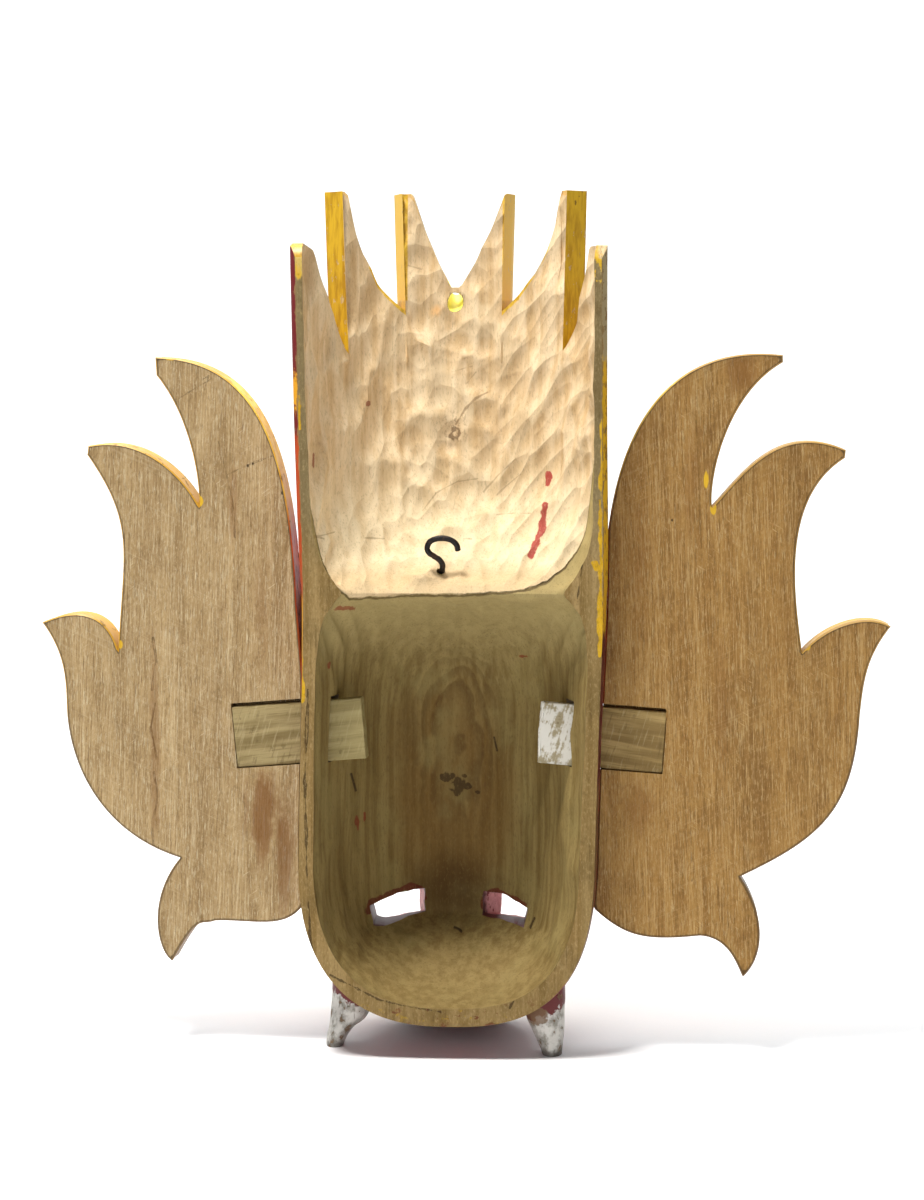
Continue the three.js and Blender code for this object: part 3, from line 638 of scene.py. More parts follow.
def block_shell():
    """The block as one closed surface. Row by row it runs round the outside from rim to rim, across the flat
    rim, back round the hollow and across the rim again, and its top is closed between outside and hollow."""
    share = columns()
    count = len(share)
    angle_top = share * math.atan2(rim_width(419), INNER_AXIS)
    level = np.full(count, 430.0)
    across = [sway(level) + reach(angle_top, level) * np.sin(angle_top) for reach in (block_reach, hollow_reach)]
    blend = np.linspace(0, 1, BAND + 2)[:, None]
    tops = crown_height(np.repeat(angle_top[None], BAND + 2, 0), across[0] * (1 - blend) + across[1] * blend)
    body = even_rows(JAW_TOP, CROWN_FOOT, ROWS - JAW_ROWS - CROWN_ROWS, hollow_depth)
    z_out = stretched(np.concatenate([jaw_rows(RIM_BOTTOM, JAW_ROWS), body]), tops[0])
    z_in = stretched(np.concatenate([jaw_rows(CAVITY_BOTTOM, JAW_ROWS), body]), tops[-1])
    outside = section_points(block_reach, share * np.arctan2(rim_width(z_out), ray_axis(z_out)), z_out)
    hollow = section_points(hollow_reach, share * np.arctan2(cavity_width(z_in), ray_axis(z_in)), z_in)
    outside[0, :, 0] = sway(RIM_BOTTOM)
    drop = CHIN_DROP * (1 - smooth((z_out - RIM_BOTTOM) / (JAW_TOP - RIM_BOTTOM)))
    outside[..., 2] -= drop * outside[..., 1] / CHIN_DEPTH
    outside, marks = carve_front(outside)
    hollow, edge = carve_hollow(hollow)
    hollow[0] = hollow[0, count // 2]
    inner = np.linspace(0, 1, BAND + 2)[None, 1:-1, None]
    right_rim = outside[:, -1:] * (1 - inner) + hollow[:, -1:] * inner
    left_rim = hollow[:, :1] * (1 - inner) + outside[:, :1] * inner
    ring = np.concatenate([outside, right_rim, hollow[:, ::-1], left_rim], 1)
    cap = outside[-1][:, None] * (1 - inner) + hollow[-1][:, None] * inner
    cap[..., 2] = tops[1:-1].T
    around = ring.shape[1]
    number = np.arange(ROWS * around).reshape(ROWS, around)
    cap_number = ROWS * around + np.arange(count * BAND).reshape(count, BAND)
    cap_number[0] = number[-1, -BAND:][::-1]
    cap_number[-1] = number[-1, count:count + BAND]
    inner_top = number[-1, count + BAND:2 * count + BAND][::-1]
    lid = np.concatenate([number[-1, :count, None], cap_number, inner_top[:, None]], 1)
    faces = np.concatenate([quads(number, closed_columns=True), quads(lid)[:, ::-1]])
    kinds = np.full((ROWS - 1, around), HOLLOW)
    kinds[:, :count - 1] = OUTSIDE
    kinds[:, count - 1:count + BAND] = RIM
    kinds[:, 2 * count + BAND - 1:] = RIM
    slots = np.concatenate([kinds.ravel(), np.full(len(faces) - kinds.size, CUT)])
    run = arc_length(outside)
    out_edge = np.minimum(np.abs(run - run[:, :1]), np.abs(run - run[:, -1:]))
    blank, cap_blank = np.zeros((ROWS, BAND)), np.zeros(count * BAND)
    layers = {}
    for name, values in marks.items():
        ring_values = np.concatenate([near(-values), blank, np.zeros_like(edge), blank], 1)
        layers[name] = np.concatenate([ring_values.ravel(), cap_blank])
    full = np.full((ROWS, BAND), float(REACH))
    ring_edge = np.concatenate([near(out_edge), full, near(edge[:, ::-1]), full], 1)
    layers["rim_edge"] = np.concatenate([ring_edge.ravel(), cap_blank])
    to_top = np.concatenate([tops[0] - z_out, np.repeat((tops[0] - z_out)[:, -1:], BAND, 1),
                             (tops[-1] - z_in)[:, ::-1], np.repeat((tops[0] - z_out)[:, :1], BAND, 1)], 1)
    layers["top_edge"] = np.concatenate([near(np.abs(to_top)).ravel(), np.full(count * BAND, float(REACH))])
    points = np.concatenate([ring.reshape(-1, 3), cap.reshape(-1, 3)])
    px, py = pictured(points)
    line = np.array(FRESH_EDGE, float)
    layers["fresh"] = np.clip((np.interp(px, line[:, 0], line[:, 1]) - py) * PIXEL + REACH, 0, 2 * REACH)
    return place(points), faces, slots, layers


# The boards: outlines from the root's top over three flames to the toe, as straight steps (u, z) or curves with
# two handles and an end
BOARD_OUTLINES = {
    1: [
        (-10, 78), (-10, 195), (2, 200), (5.3, 243.5), (8, 322, 24, 371, 80.5, 371.6), (80, 362),
        (64, 343, 57, 312, 57.5, 292.4), (67, 311, 90, 331, 118, 324.4), (118.6, 319.6),
        (92, 282, 100, 268, 103.2, 214), (108, 234, 124, 239, 145.2, 229.2), (131, 210, 133, 195, 132.2, 179),
        (130, 148, 112, 114, 70.3, 102.4), (90, 79, 84, 50, 75.5, 45.3), (60, 73, 60, 65, 51.3, 68.4),
        (30, 70, 13, 64, 2.6, 78.8),
    ],
    -1: [
        (-10, 79), (-10, 240), (1.8, 244.3), (1, 312, 21, 381, 93.6, 372.8), (93.7, 369),
        (64, 352, 56, 307, 57.9, 293.7), (73, 310, 91, 339, 126.8, 323.7), (126.4, 319.5),
        (91, 297, 103, 240, 105.7, 217.2), (118, 232, 139, 239, 151.6, 231.5), (139, 215, 138, 202, 136.4, 184.6),
        (134, 135, 119, 119, 74.8, 97), (90, 75, 88, 53, 77, 42.7), (74, 48, 70, 64, 54, 64.6),
        (24, 61, 14, 63, -3.6, 79.3),
    ],
}
BOARD_RIBS = [
    [(28, 215), (29, 268), (41, 322), (66, 353)], [(60, 200), (74, 248), (82, 285), (102, 314)],
    [(90, 140), (108, 168), (119, 196), (133, 219)], [(46, 132), (58, 110), (66, 90), (74, 68)],
]
TENONS = {1: (-31, 39.5, 175.5, 169), -1: (-33, 34, 173, 168.5)}
SIDE_NAMES = {1: "left", -1: "right"}


def on_board(side, u, back, z):
    """Board places (outwards from the root, behind the back face, up) as (x, depth, z)."""
    turn = BOARD_SWEEP[side]
    x = side * (BOARD_ROOT + u * math.cos(turn) + back * math.sin(turn))
    return np.stack([x, BOARD_DEPTH + u * math.sin(turn) - back * math.cos(turn), z + 0 * u], -1)


def outline_points(path, step):
    """A closed outline as points about step apart."""
    done = [np.array(path[0], float)]
    for entry in path[1:] + path[:1]:
        p = np.array((tuple(done[-1]) + tuple(entry)), float).reshape(-1, 2)
        if len(p) == 2:
            p = np.array([p[0], p[0] + (p[1] - p[0]) / 3, p[1] - (p[1] - p[0]) / 3, p[1]])
        count = max(int(np.linalg.norm(np.diff(p, axis=0), axis=1).sum() / step), 1)
        t = np.linspace(0, 1, count + 1)[1:, None]
        done.extend((1 - t) ** 3 * p[0] + 3 * (1 - t) ** 2 * t * p[1] + 3 * (1 - t) * t * t * p[2] + t**3 * p[3])
    return np.array(done[:-1])


def inset(loop, distance):
    """A closed outline moved inwards. The outline runs clockwise, seen with u to the right and z up."""
    along = np.roll(loop, -1, 0) - np.roll(loop, 1, 0)
    along /= np.maximum(np.linalg.norm(along, axis=1, keepdims=True), 1e-9)
    return loop + np.stack([along[:, 1], -along[:, 0]], 1) * np.reshape(distance, (-1, 1))


def inside_outline(points, loop):
    """Which points lie inside a closed outline, by counting crossings."""
    a, b = loop, np.roll(loop, -1, 0)
    u, z = points[:, :1], points[:, 1:]
    crosses = (a[:, 1] > z) != (b[:, 1] > z)
    at = a[:, 0] + (z - a[:, 1]) * (b[:, 0] - a[:, 0]) / np.where(b[:, 1] == a[:, 1], 1e-9, b[:, 1] - a[:, 1])
    return (crosses & (u < at)).sum(1) % 2 == 1


def distance_to(points, loop):
    """Distance of each point to the nearest of a loop's points."""
    tree = KDTree(len(loop))
    for i, (u, z) in enumerate(loop):
        tree.insert((u, z, 0), i)
    tree.balance()
    return np.array([tree.find((u, z, 0))[2] for u, z in points])


def board_shell(side, step):
    """A flame board: a fine net over its outline behind, the same in front with raised ribs, and rounded edges
    that join the two."""
    loop = outline_points(BOARD_OUTLINES[side], step)
    root = (block_width(loop[:, 1]) + side * sway(loop[:, 1]) + ROOT_GAP - BOARD_ROOT) / math.cos(BOARD_SWEEP[side])
    loop[:, 0] = np.maximum(loop[:, 0], root)
    keep = np.linalg.norm(loop - np.roll(loop, 1, 0), axis=1) > 0.35
    loop = loop[keep]
    edge = inset(loop, 0.7)
    low, high = loop.min(0), loop.max(0)
    net = np.stack(np.meshgrid(np.arange(low[0], high[0], step), np.arange(low[1], high[1], step)), -1).reshape(-1, 2)
    net[:, 0] += (np.round((net[:, 1] - low[1]) / step) % 2) * step / 2
    net = net[inside_outline(net, edge)]
    net = net[distance_to(net, outline_points(BOARD_OUTLINES[side], step / 2)) > 0.7 + step * 0.55]
    net = net[net[:, 0] > np.interp(net[:, 1], [60, 260], [0, 0]) + step]
    given = [Vector(p) for p in np.concatenate([edge, net])]
    flat, _, triangles, origin, _, _ = delaunay_2d_cdt(given, [], [list(range(len(edge)))], 1, 1e-5)
    flat = np.array([tuple(p) for p in flat])
    of_edge = np.full(len(edge), -1)
    for i, sources in enumerate(origin):
        for source in sources:
            if source < len(edge):
                of_edge[source] = i
    u, z = flat.T
    border = distance_to(flat, outline_points(BOARD_OUTLINES[side], step / 2))
    border[of_edge] = 0.7
    relief = 0.22 * value_noise(u / 2.2, z / 38, side) + 0.3 * value_noise(u / 14, z / 60, 5 + side) - 0.35
    back = relief * smooth((border - 0.7) / 3)
    ribs = np.full(u.shape, -BOARD_THICKNESS + 0.0)
    rib_near = np.full(u.shape, -99.0)
    for line in BOARD_RIBS:
        rib, within = ridge(u, z, line, 6.5, 3.6, 2.6, 1.6)
        ribs = np.minimum(ribs, -BOARD_THICKNESS - rib)
        rib_near = np.maximum(rib_near, within)
    count, total = len(loop), len(flat)
    wave = 0.5 + 0.5 * value_noise(np.arange(count) * step / 9, np.zeros(count), 6 + side)
    rings = [loop, inset(loop, 0.5 * wave), inset(loop, 0.6 * wave[::-1]), loop]
    layers_back = [-0.7, -BOARD_THICKNESS * 0.35, -BOARD_THICKNESS * 0.7, 0.7 - BOARD_THICKNESS]
    sides = np.concatenate([on_board(side, r[:, 0], np.full(count, b), r[:, 1]) for r, b in zip(rings, layers_back)])
    points = np.concatenate([on_board(side, u, back, z), on_board(side, u, ribs, z), sides])
    numbers = 2 * total + np.arange(4 * count).reshape(4, count)
    strip = np.concatenate([of_edge[None], numbers, of_edge[None] + total])
    around = quads(strip, closed_columns=True)
    triangles = np.array(triangles)
    faces = [tuple(f) for f in triangles] + [tuple(f[::-1] + total) for f in triangles]
    first = triangles[0]
    turn = np.cross(*(flat[first[1:]] - flat[first[0]]))
    faces += [tuple(f if turn > 0 else f[::-1]) for f in around]
    slots = np.concatenate([np.zeros(len(triangles)), np.ones(len(triangles)), np.full(len(around), 2)])
    full = np.full(4 * count, float(REACH))
    layers = {
        "rim_edge": np.concatenate([near(border), near(border), full]),
        "rib": np.concatenate([np.zeros(total), near(-rib_near), np.zeros(4 * count)]),
    }
    return place(points), faces, slots, layers


def tenon_box(side, room, above):
    """The eight corners and faces of the room a tenon lies in."""
    inner, outer, inner_height, outer_height = TENONS[side]
    half = np.array([(outer - inner) / 2 + room, TENON_THICKNESS / 2 + room, (TENON_HEIGHT + room + above) / 2])
    corner = np.array([(i, j, k) for i in (-1, 1) for j in (-1, 1) for k in (-1, 1)]) * half
    tilt = math.atan2(inner_height - outer_height, outer - inner)
    up = corner[:, 2] + (above - room) / 2
    u = corner[:, 0] * math.cos(tilt) + up * math.sin(tilt) + (inner + outer) / 2
    z = -corner[:, 0] * math.sin(tilt) + up * math.cos(tilt) + (inner_height + outer_height) / 2
    points = on_board(side, u, corner[:, 1] - TENON_THICKNESS / 2 - GAP, z)
    faces = [(0, 1, 3, 2), (4, 6, 7, 5), (0, 4, 5, 1), (2, 3, 7, 6), (0, 2, 6, 4), (1, 5, 7, 3)]
    return points, faces


def grid_piece(points):
    """Places in the frame and faces of a grid of points that is closed round its columns."""
    number = np.arange(points.shape[0] * points.shape[1]).reshape(points.shape[:2])
    return place(points.reshape(-1, 3)), quads(number, closed_columns=True)


def tenon_bar(side):
    """A sawn bar with softened corners. Its section is a superellipse, its surface waves with the saw and its
    ends are rings that close in to their middle. The right one's inner end is broken off ragged."""
    inner, outer, inner_height, outer_height = TENONS[side]
    turn = np.linspace(0, 2 * np.pi, 72, endpoint=False)
    s, c = np.sin(turn), np.cos(turn)
    half_z, half_y = TENON_HEIGHT / 2, TENON_THICKNESS / 2
    up = np.sign(s) * np.abs(s) ** 0.16 * half_z
    thick = np.sign(c) * np.abs(c) ** 0.16 * half_y
    along = np.concatenate([np.zeros(4), np.linspace(0, 1, 62), np.ones(4)])
    size = np.concatenate([[0, 0.5, 0.86, 0.965], np.ones(62), [0.965, 0.86, 0.5, 0]])
    size[4], size[-5] = 0.99, 0.99
    long = outer - inner
    place_along = -long / 2 + long * along[:, None] + 0 * turn
    rag = 1.0 if side < 0 else 0.35
    notch = value_noise(up[None] / 3.1 + 0 * place_along, thick[None] / 5 + 3, 12 + side)
    notch = notch + 0.6 * value_noise(up[None] / 1.2 + 0 * place_along, thick[None] / 3, 15)
    place_along = place_along + rag * (1.1 + notch) * (along[:, None] < 0.02) * size[:, None]
    skin = 0.12 * value_noise(place_along / 7, turn[None] * 5, 17) - 0.14
    up_all = up[None] * size[:, None] + skin * np.sign(up)[None] * (size[:, None] > 0.9)
    thick_all = thick[None] * size[:, None] + skin * np.sign(thick)[None] * (size[:, None] > 0.9)
    tilt = math.atan2(inner_height - outer_height, long)
    u = place_along * math.cos(tilt) + up_all * math.sin(tilt) + (inner + outer) / 2
    z = -place_along * math.sin(tilt) + up_all * math.cos(tilt) + (inner_height + outer_height) / 2
    return grid_piece(on_board(side, u, thick_all - half_y - GAP, z))


# The hook's wire, followed on the photograph: x and y in pixels, and the depth in millimetres
HOOK_PIXELS = [
    (441.7, 576, 28), (442.2, 570, 20), (442.5, 565, 17), (439.6, 560, 16), (434.2, 556.3, 16),
    (429.2, 552.9, 15.5), (427.1, 547.9, 15.5), (430, 541.7, 15.5), (436.3, 538.8, 15), (443.3, 538.3, 15),
    (450.8, 540, 15), (456.3, 544.6, 15), (458.3, 551.7, 15.5),
]


def hook_line():
    px, py, depth = np.array(HOOK_PIXELS, float).T
    spots = seen(px, py, depth)
    return np.stack([spots[:, 0], depth, spots[:, 1]], 1)


def swept(line, radius, sides, rings):
    """A round bar along a curve: circles square to it, closing in at both ends."""
    at = curve_points(line, rings)
    tangent = np.gradient(at, axis=0)
    tangent /= np.linalg.norm(tangent, axis=1, keepdims=True)
    across = np.cross(tangent, [0, 1, 0.02])
    across /= np.linalg.norm(across, axis=1, keepdims=True)
    other = np.cross(tangent, across)
    size = np.concatenate([[0, 0.7], np.ones(rings - 4), [0.8, 0]])[:, None, None]
    at[0], at[-1] = at[1], at[-2] + 0.5 * (at[-1] - at[-2])
    turn = np.linspace(0, 2 * np.pi, sides, endpoint=False)[None, :, None]
    dents = 0.05 * value_noise(np.arange(rings)[:, None] / 3.0, turn[..., 0] * 1.5, 21)
    rough = radius * (1 - 0.05 - dents)[..., None]
    return grid_piece(at[:, None] + size * rough * (np.cos(turn) * across[:, None] + np.sin(turn) * other[:, None]))


TUSKS = {
    1: [
        (52, 34, 58, 14, 13), (54.5, 32, 28, 12, 11), (57, 30, 16, 10.4, 9.5), (61, 29, 10, 7, 8),
        (64, 28, 3, 5.2, 6.5), (65, 28, -4, 4, 5.5),
    ],
    -1: [
        (-46, 25, 60, 14, 13), (-48, 20, 36, 12.5, 11.5), (-49.5, 18, 22, 11, 10), (-51.4, 17, 12, 8.6, 8.5),
        (-53, 16, 3, 6, 7), (-53.3, 16, -4, 5, 6),
    ],
}


def tusk_horn(side):
    """A tusk: upright ellipses that narrow to the floor, faceted a little by the knife. It is cut flat at z 0 and
    its top ends in the jaw's wood, below the hollow's floor."""
    x, depth, z, wide, deep = curve_points(TUSKS[side], 56).T[:, :, None]
    turn = np.linspace(0, 2 * np.pi, 40, endpoint=False)[None]
    facet = 1 - 0.03 - 0.03 * value_noise(turn * 1.6 + z / 40, z / 6, 31 + side)
    size = np.ones_like(x)
    size[0], size[-1] = 0, 0
    px = x + wide * facet * size * np.cos(turn)
    pd = depth + deep * facet * size * np.sin(turn)
    share = np.clip(np.abs(px) / CAVITY_HALF_WIDTH, 0, 1)
    floor = JAW_TOP - (JAW_TOP - CAVITY_BOTTOM) * (1 - share**JAW_POWER) ** (1 / JAW_POWER)
    pz = np.maximum(np.minimum(z + 0 * turn, floor - 2.5), 0)
    return grid_piece(np.stack([px, pd, pz], -1))


def round_block(centre, half, lean, power=0.45, rows=14, sides=24):
    """A superellipsoid, from a ball to nearly a box as its power falls, turned about an upright axis."""
    up = np.linspace(-np.pi / 2, np.pi / 2, rows)[:, None]
    turn = np.linspace(0, 2 * np.pi, sides, endpoint=False)[None]
    bend = lambda v: np.sign(v) * np.abs(v) ** power
    x = half[0] * bend(np.cos(up)) * bend(np.cos(turn))
    d = half[1] * bend(np.cos(up)) * bend(np.sin(turn))
    z = half[2] * bend(np.sin(up)) + 0 * turn
    x, d = x * math.cos(lean) - d * math.sin(lean), d * math.cos(lean) - x * math.sin(lean)
    return grid_piece(np.stack([x, d, z], -1) + np.array(centre))


UPPER_TEETH = (8, 11.2, 86.5, -0.0068, 10.4, 13)
LOWER_TEETH = (6, 12.4, 50.5, 0.001, 11.6, 11)


def joined(parts):
    """Several (points, faces) lists as one."""
    points, faces, start = [], [], 0
    for part_points, part_faces in parts:
        points.append(np.asarray(part_points, float))
        faces += [tuple(int(i) + start for i in face) for face in part_faces]
        start += len(part_points)
    return np.concatenate(points), faces


def tooth_rows():
    """All the teeth: rounded blocks in two curved rows, each a little different."""
    parts = []
    for count, spacing, middle, bow, wide, high in (UPPER_TEETH, LOWER_TEETH):
        for i in range(count):
            x = (i - (count - 1) / 2) * spacing
            z = middle + bow * x * x
            change = 0.97 - 0.06 * float(hashed(np.float64(i), np.float64(count), 2))
            lean = math.atan2(x, 120)
            depth = float(front_surface(np.float64(x), np.float64(z))) + 1
            half = (wide / 2 * 0.97, 6.6, high / 2 * change)
            parts.append(round_block((x, depth, z), half, lean))
    return joined(parts)


def eye_balls():
    """Both eyeballs: round in front, flat where they sit in the wood."""
    parts = []
    for side in (1, -1):
        half = (EYE_RADIUS + 0.3, EYE_BULGE + 0.5, EYE_RADIUS + 0.3)
        points, faces = round_block((side * EYE[0], EYE[1], EYE[2]), half, 0, 1.0, 28, 40)
        points[:, 1] = np.minimum(points[:, 1], RIM_Y - (EYE[1] - 1) * MM)
        parts.append((points, faces))
    return joined(parts)


# The small hole bored at the foot of the crown's middle gap, and half of the way it is bored
HOLE_PLACE = (0.5, 76, 409)
HOLE_RADIUS = 4.2
HOLE_RUN = 30 * np.array([0, math.cos(math.radians(35)), math.sin(math.radians(35))])

# The mouth slots: where their cutters start, the hollow's far wall, and how they splay and fall beyond it
SLOT_BACK = 44
SLOT_WALL = 78
SLOT_SPLAY = {1: 0.3, -1: 0.9}
SLOT_FALL = 0.24
MOUTH_SLOTS = {
    1: [(18, 63), (18.5, 76), (33, 74.5), (47.5, 70.5), (45.5, 60), (40, 58.5)],
    -1: [(-14, 61.5), (-14.5, 75), (-27, 74), (-39.5, 69), (-37.5, 59), (-27, 60.5)],
}


def slot_cutter(side):
    """What is taken out for one mouth slot: its outline on the hollow's far wall, carried forward so that it
    splays outwards and falls. The outline's straight cuts wander a little, as a knife's do."""
    corners = np.array(MOUTH_SLOTS[side], float)
    after = np.roll(corners, -1, 0)
    steps = [here + (there - here) * t for here, there in zip(corners, after) for t in np.arange(0, 1, 0.2)]
    loop = np.array(steps)
    along, up = loop[:, 0], loop[:, 1]
    loop += 0.35 * np.stack([value_noise(up / 3, along / 3, 3), value_noise(along / 4, up / 3, 4)], 1)
    depths = np.array([SLOT_BACK, 60, SLOT_WALL, 95, 112, 125], float)[:, None]
    beyond = np.maximum(depths - SLOT_WALL, 0)
    x = loop[None, :, 0] + side * SLOT_SPLAY[side] * beyond
    z = loop[None, :, 1] - SLOT_FALL * beyond
    points = np.stack(np.broadcast_arrays(x, depths, z), -1).reshape(-1, 3)
    number = np.arange(len(points)).reshape(len(depths), len(loop))
    ends = [tuple(number[0][::-1]), tuple(number[-1])]
    return points, [tuple(f) for f in quads(number, closed_columns=True)] + ends


def hole_cutter(radius, start, end, sides=20):
    """A round bore from one place to another."""
    start, end = np.array(start, float), np.array(end, float)
    along = (end - start) / np.linalg.norm(end - start)
    across = np.cross(along, [1, 0, 0])
    across /= np.linalg.norm(across)
    other = np.cross(along, across)
    turn = np.linspace(0, 2 * np.pi, sides, endpoint=False)[:, None]
    ring = radius * (np.cos(turn) * across + np.sin(turn) * other)
    points = np.concatenate([start + ring, end + ring])
    number = np.arange(2 * sides).reshape(2, sides)
    ends = [tuple(number[0][::-1]), tuple(number[1])]
    return points, [tuple(f) for f in quads(number, closed_columns=True)] + ends


def cut_away(piece, cutters, material_count):
    """Takes closed cutters out of a piece. The faces that a cutter leaves get the cutter's own material."""
    points, faces = joined(cutters)
    mesh = bpy.data.meshes.new(piece.name + "_cut")
    mesh.from_pydata(place(points).tolist(), [], faces)
    for material in piece.data.materials:
        mesh.materials.append(material)
    slots = np.full(len(faces), material_count, dtype=np.int32)
    mesh.polygons.foreach_set("material_index", slots)
    work = bmesh.new()
    work.from_mesh(mesh)
    bmesh.ops.recalc_face_normals(work, faces=work.faces)
    work.to_mesh(mesh)
    work.free()
    tool = bpy.data.objects.new(mesh.name, mesh)
    bpy.context.scene.collection.objects.link(tool)
    step = piece.modifiers.new("Cuts", "BOOLEAN")
    step.operation = "DIFFERENCE"
    step.solver = "MANIFOLD"
    step.object = tool
    shaped = piece.evaluated_get(bpy.context.evaluated_depsgraph_get())
    cut = bpy.data.meshes.new_from_object(shaped)
    piece.modifiers.clear()
    old, piece.data = piece.data, cut
    bpy.data.meshes.remove(old)
    bpy.data.objects.remove(tool)
    bpy.data.meshes.remove(mesh)
    cut.name = piece.name
    cut.polygons.foreach_set("use_smooth", np.ones(len(cut.polygons), dtype=bool))
    cut.set_sharp_from_angle(angle=math.radians(40))


def add_piece(piece, nodes):
    """Puts a finished piece on the model: it moves with the body and stands for its CAD nodes."""
    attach(piece, "root")
    if nodes:
        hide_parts(*nodes)
    return piece


# Shader sockets with arithmetic


class Value:
    """A number that varies over a surface: a node's output that can be added, multiplied and compared."""

    def __init__(self, shader, socket):
        self.shader, self.socket = shader, socket

    def maths(self, operation, *terms, clamp=False):
        node = self.shader.tree.nodes.new("ShaderNodeMath")
        node.operation, node.use_clamp = operation, clamp
        for i, term in enumerate(terms):
            self.shader.feed(node.inputs[i], term)
        return Value(self.shader, node.outputs[0])

    def __add__(self, other):
        return self.maths("ADD", self, other)

    def __radd__(self, other):
        return self.maths("ADD", other, self)

    def __sub__(self, other):
        return self.maths("SUBTRACT", self, other)

    def __rsub__(self, other):
        return self.maths("SUBTRACT", other, self)

    def __mul__(self, other):
        return self.maths("MULTIPLY", self, other)

    def __rmul__(self, other):
        return self.maths("MULTIPLY", other, self)

    def __truediv__(self, other):
        return self.maths("DIVIDE", self, other)

    def __pow__(self, other):
        return self.maths("POWER", self, other)

    def sqrt(self):
        return self.maths("SQRT", self)

    def fract(self):
        return self.maths("FRACT", self)

    def absolute(self):
        return self.maths("ABSOLUTE", self)

    def smaller(self, other):
        return self.maths("MINIMUM", self, other)

    def larger(self, other):
        return self.maths("MAXIMUM", self, other)

    def rise(self, low, high):
        """0 below low and 1 above high, smooth between. With low above high it falls instead."""
        if low > high:
            return 1 - self.rise(high, low)
        node = self.shader.tree.nodes.new("ShaderNodeMapRange")
        node.interpolation_type = "SMOOTHSTEP"
        self.shader.feed(node.inputs["Value"], self)
        node.inputs["From Min"].default_value, node.inputs["From Max"].default_value = low, high
        return Value(self.shader, node.outputs["Result"])

    def band(self, low, high, soft):
        """1 between low and high, 0 outside, with soft edges."""
        return self.rise(low - soft, low + soft) * self.rise(high + soft, high - soft)


def tint(red, green, blue):
    """A colour as the eye sees it, 0 to 255 a channel, as the shader's linear value."""
    channels = [c / 255 for c in (red, green, blue)]
    return tuple(c / 12.92 if c < 0.0404 else ((c + 0.055) / 1.055) ** 2.4 for c in channels) + (1.0,)


class Nodes:
    """A node tree that Values are worked out in."""

    def __init__(self, tree):
        self.tree = tree

    def feed(self, socket, value):
        if isinstance(value, Value):
            self.tree.links.new(value.socket, socket)
        else:
            socket.default_value = value

    def node(self, kind, settings=None, values=None, out=0):
        node = self.tree.nodes.new(kind)
        for key, value in (settings or {}).items():
            setattr(node, key, value)
        for key, value in (values or {}).items():
            self.feed(node.inputs[key], value)
        return Value(self, node.outputs[out])

    def worked(self, formula, *terms):
        """A formula's result, by a node group that is made once for all materials."""
        group = bpy.data.node_groups.get(formula.__name__)
        if group is None:
            group = bpy.data.node_groups.new(formula.__name__, "ShaderNodeTree")
            for i in range(len(terms)):
                group.interface.new_socket("Term %d" % i, in_out="INPUT", socket_type="NodeSocketFloat")
            group.interface.new_socket("Result", in_out="OUTPUT", socket_type="NodeSocketFloat")
            inner = Nodes(group)
            given, result = group.nodes.new("NodeGroupInput"), group.nodes.new("NodeGroupOutput")
            inner.feed(result.inputs[0], formula(*(Value(inner, given.outputs[i]) for i in range(len(terms)))))
        node = self.tree.nodes.new("ShaderNodeGroup")
        node.node_tree = group
        for i, term in enumerate(terms):
            self.feed(node.inputs[i], term)
        return Value(self, node.outputs[0])


def stroke_gap(x, z, ax, az, du, dv):
    """Distance from (x, z) to the stroke that starts at (ax, az) and runs by (du, dv)."""
    px, pz = x - ax, z - az
    share = ((px * du + pz * dv) / (du * du + dv * dv)).smaller(1.0).larger(0.0)
    gx, gz = px - share * du, pz - share * dv
    return (gx * gx + gz * gz).sqrt()


def spot_gap(x, z, cx, cz, wide, high):
    """Distance from a place in units of an ellipse's half axes."""
    px, pz = (x - cx) / wide, (z - cz) / high
    return (px * px + pz * pz).sqrt()


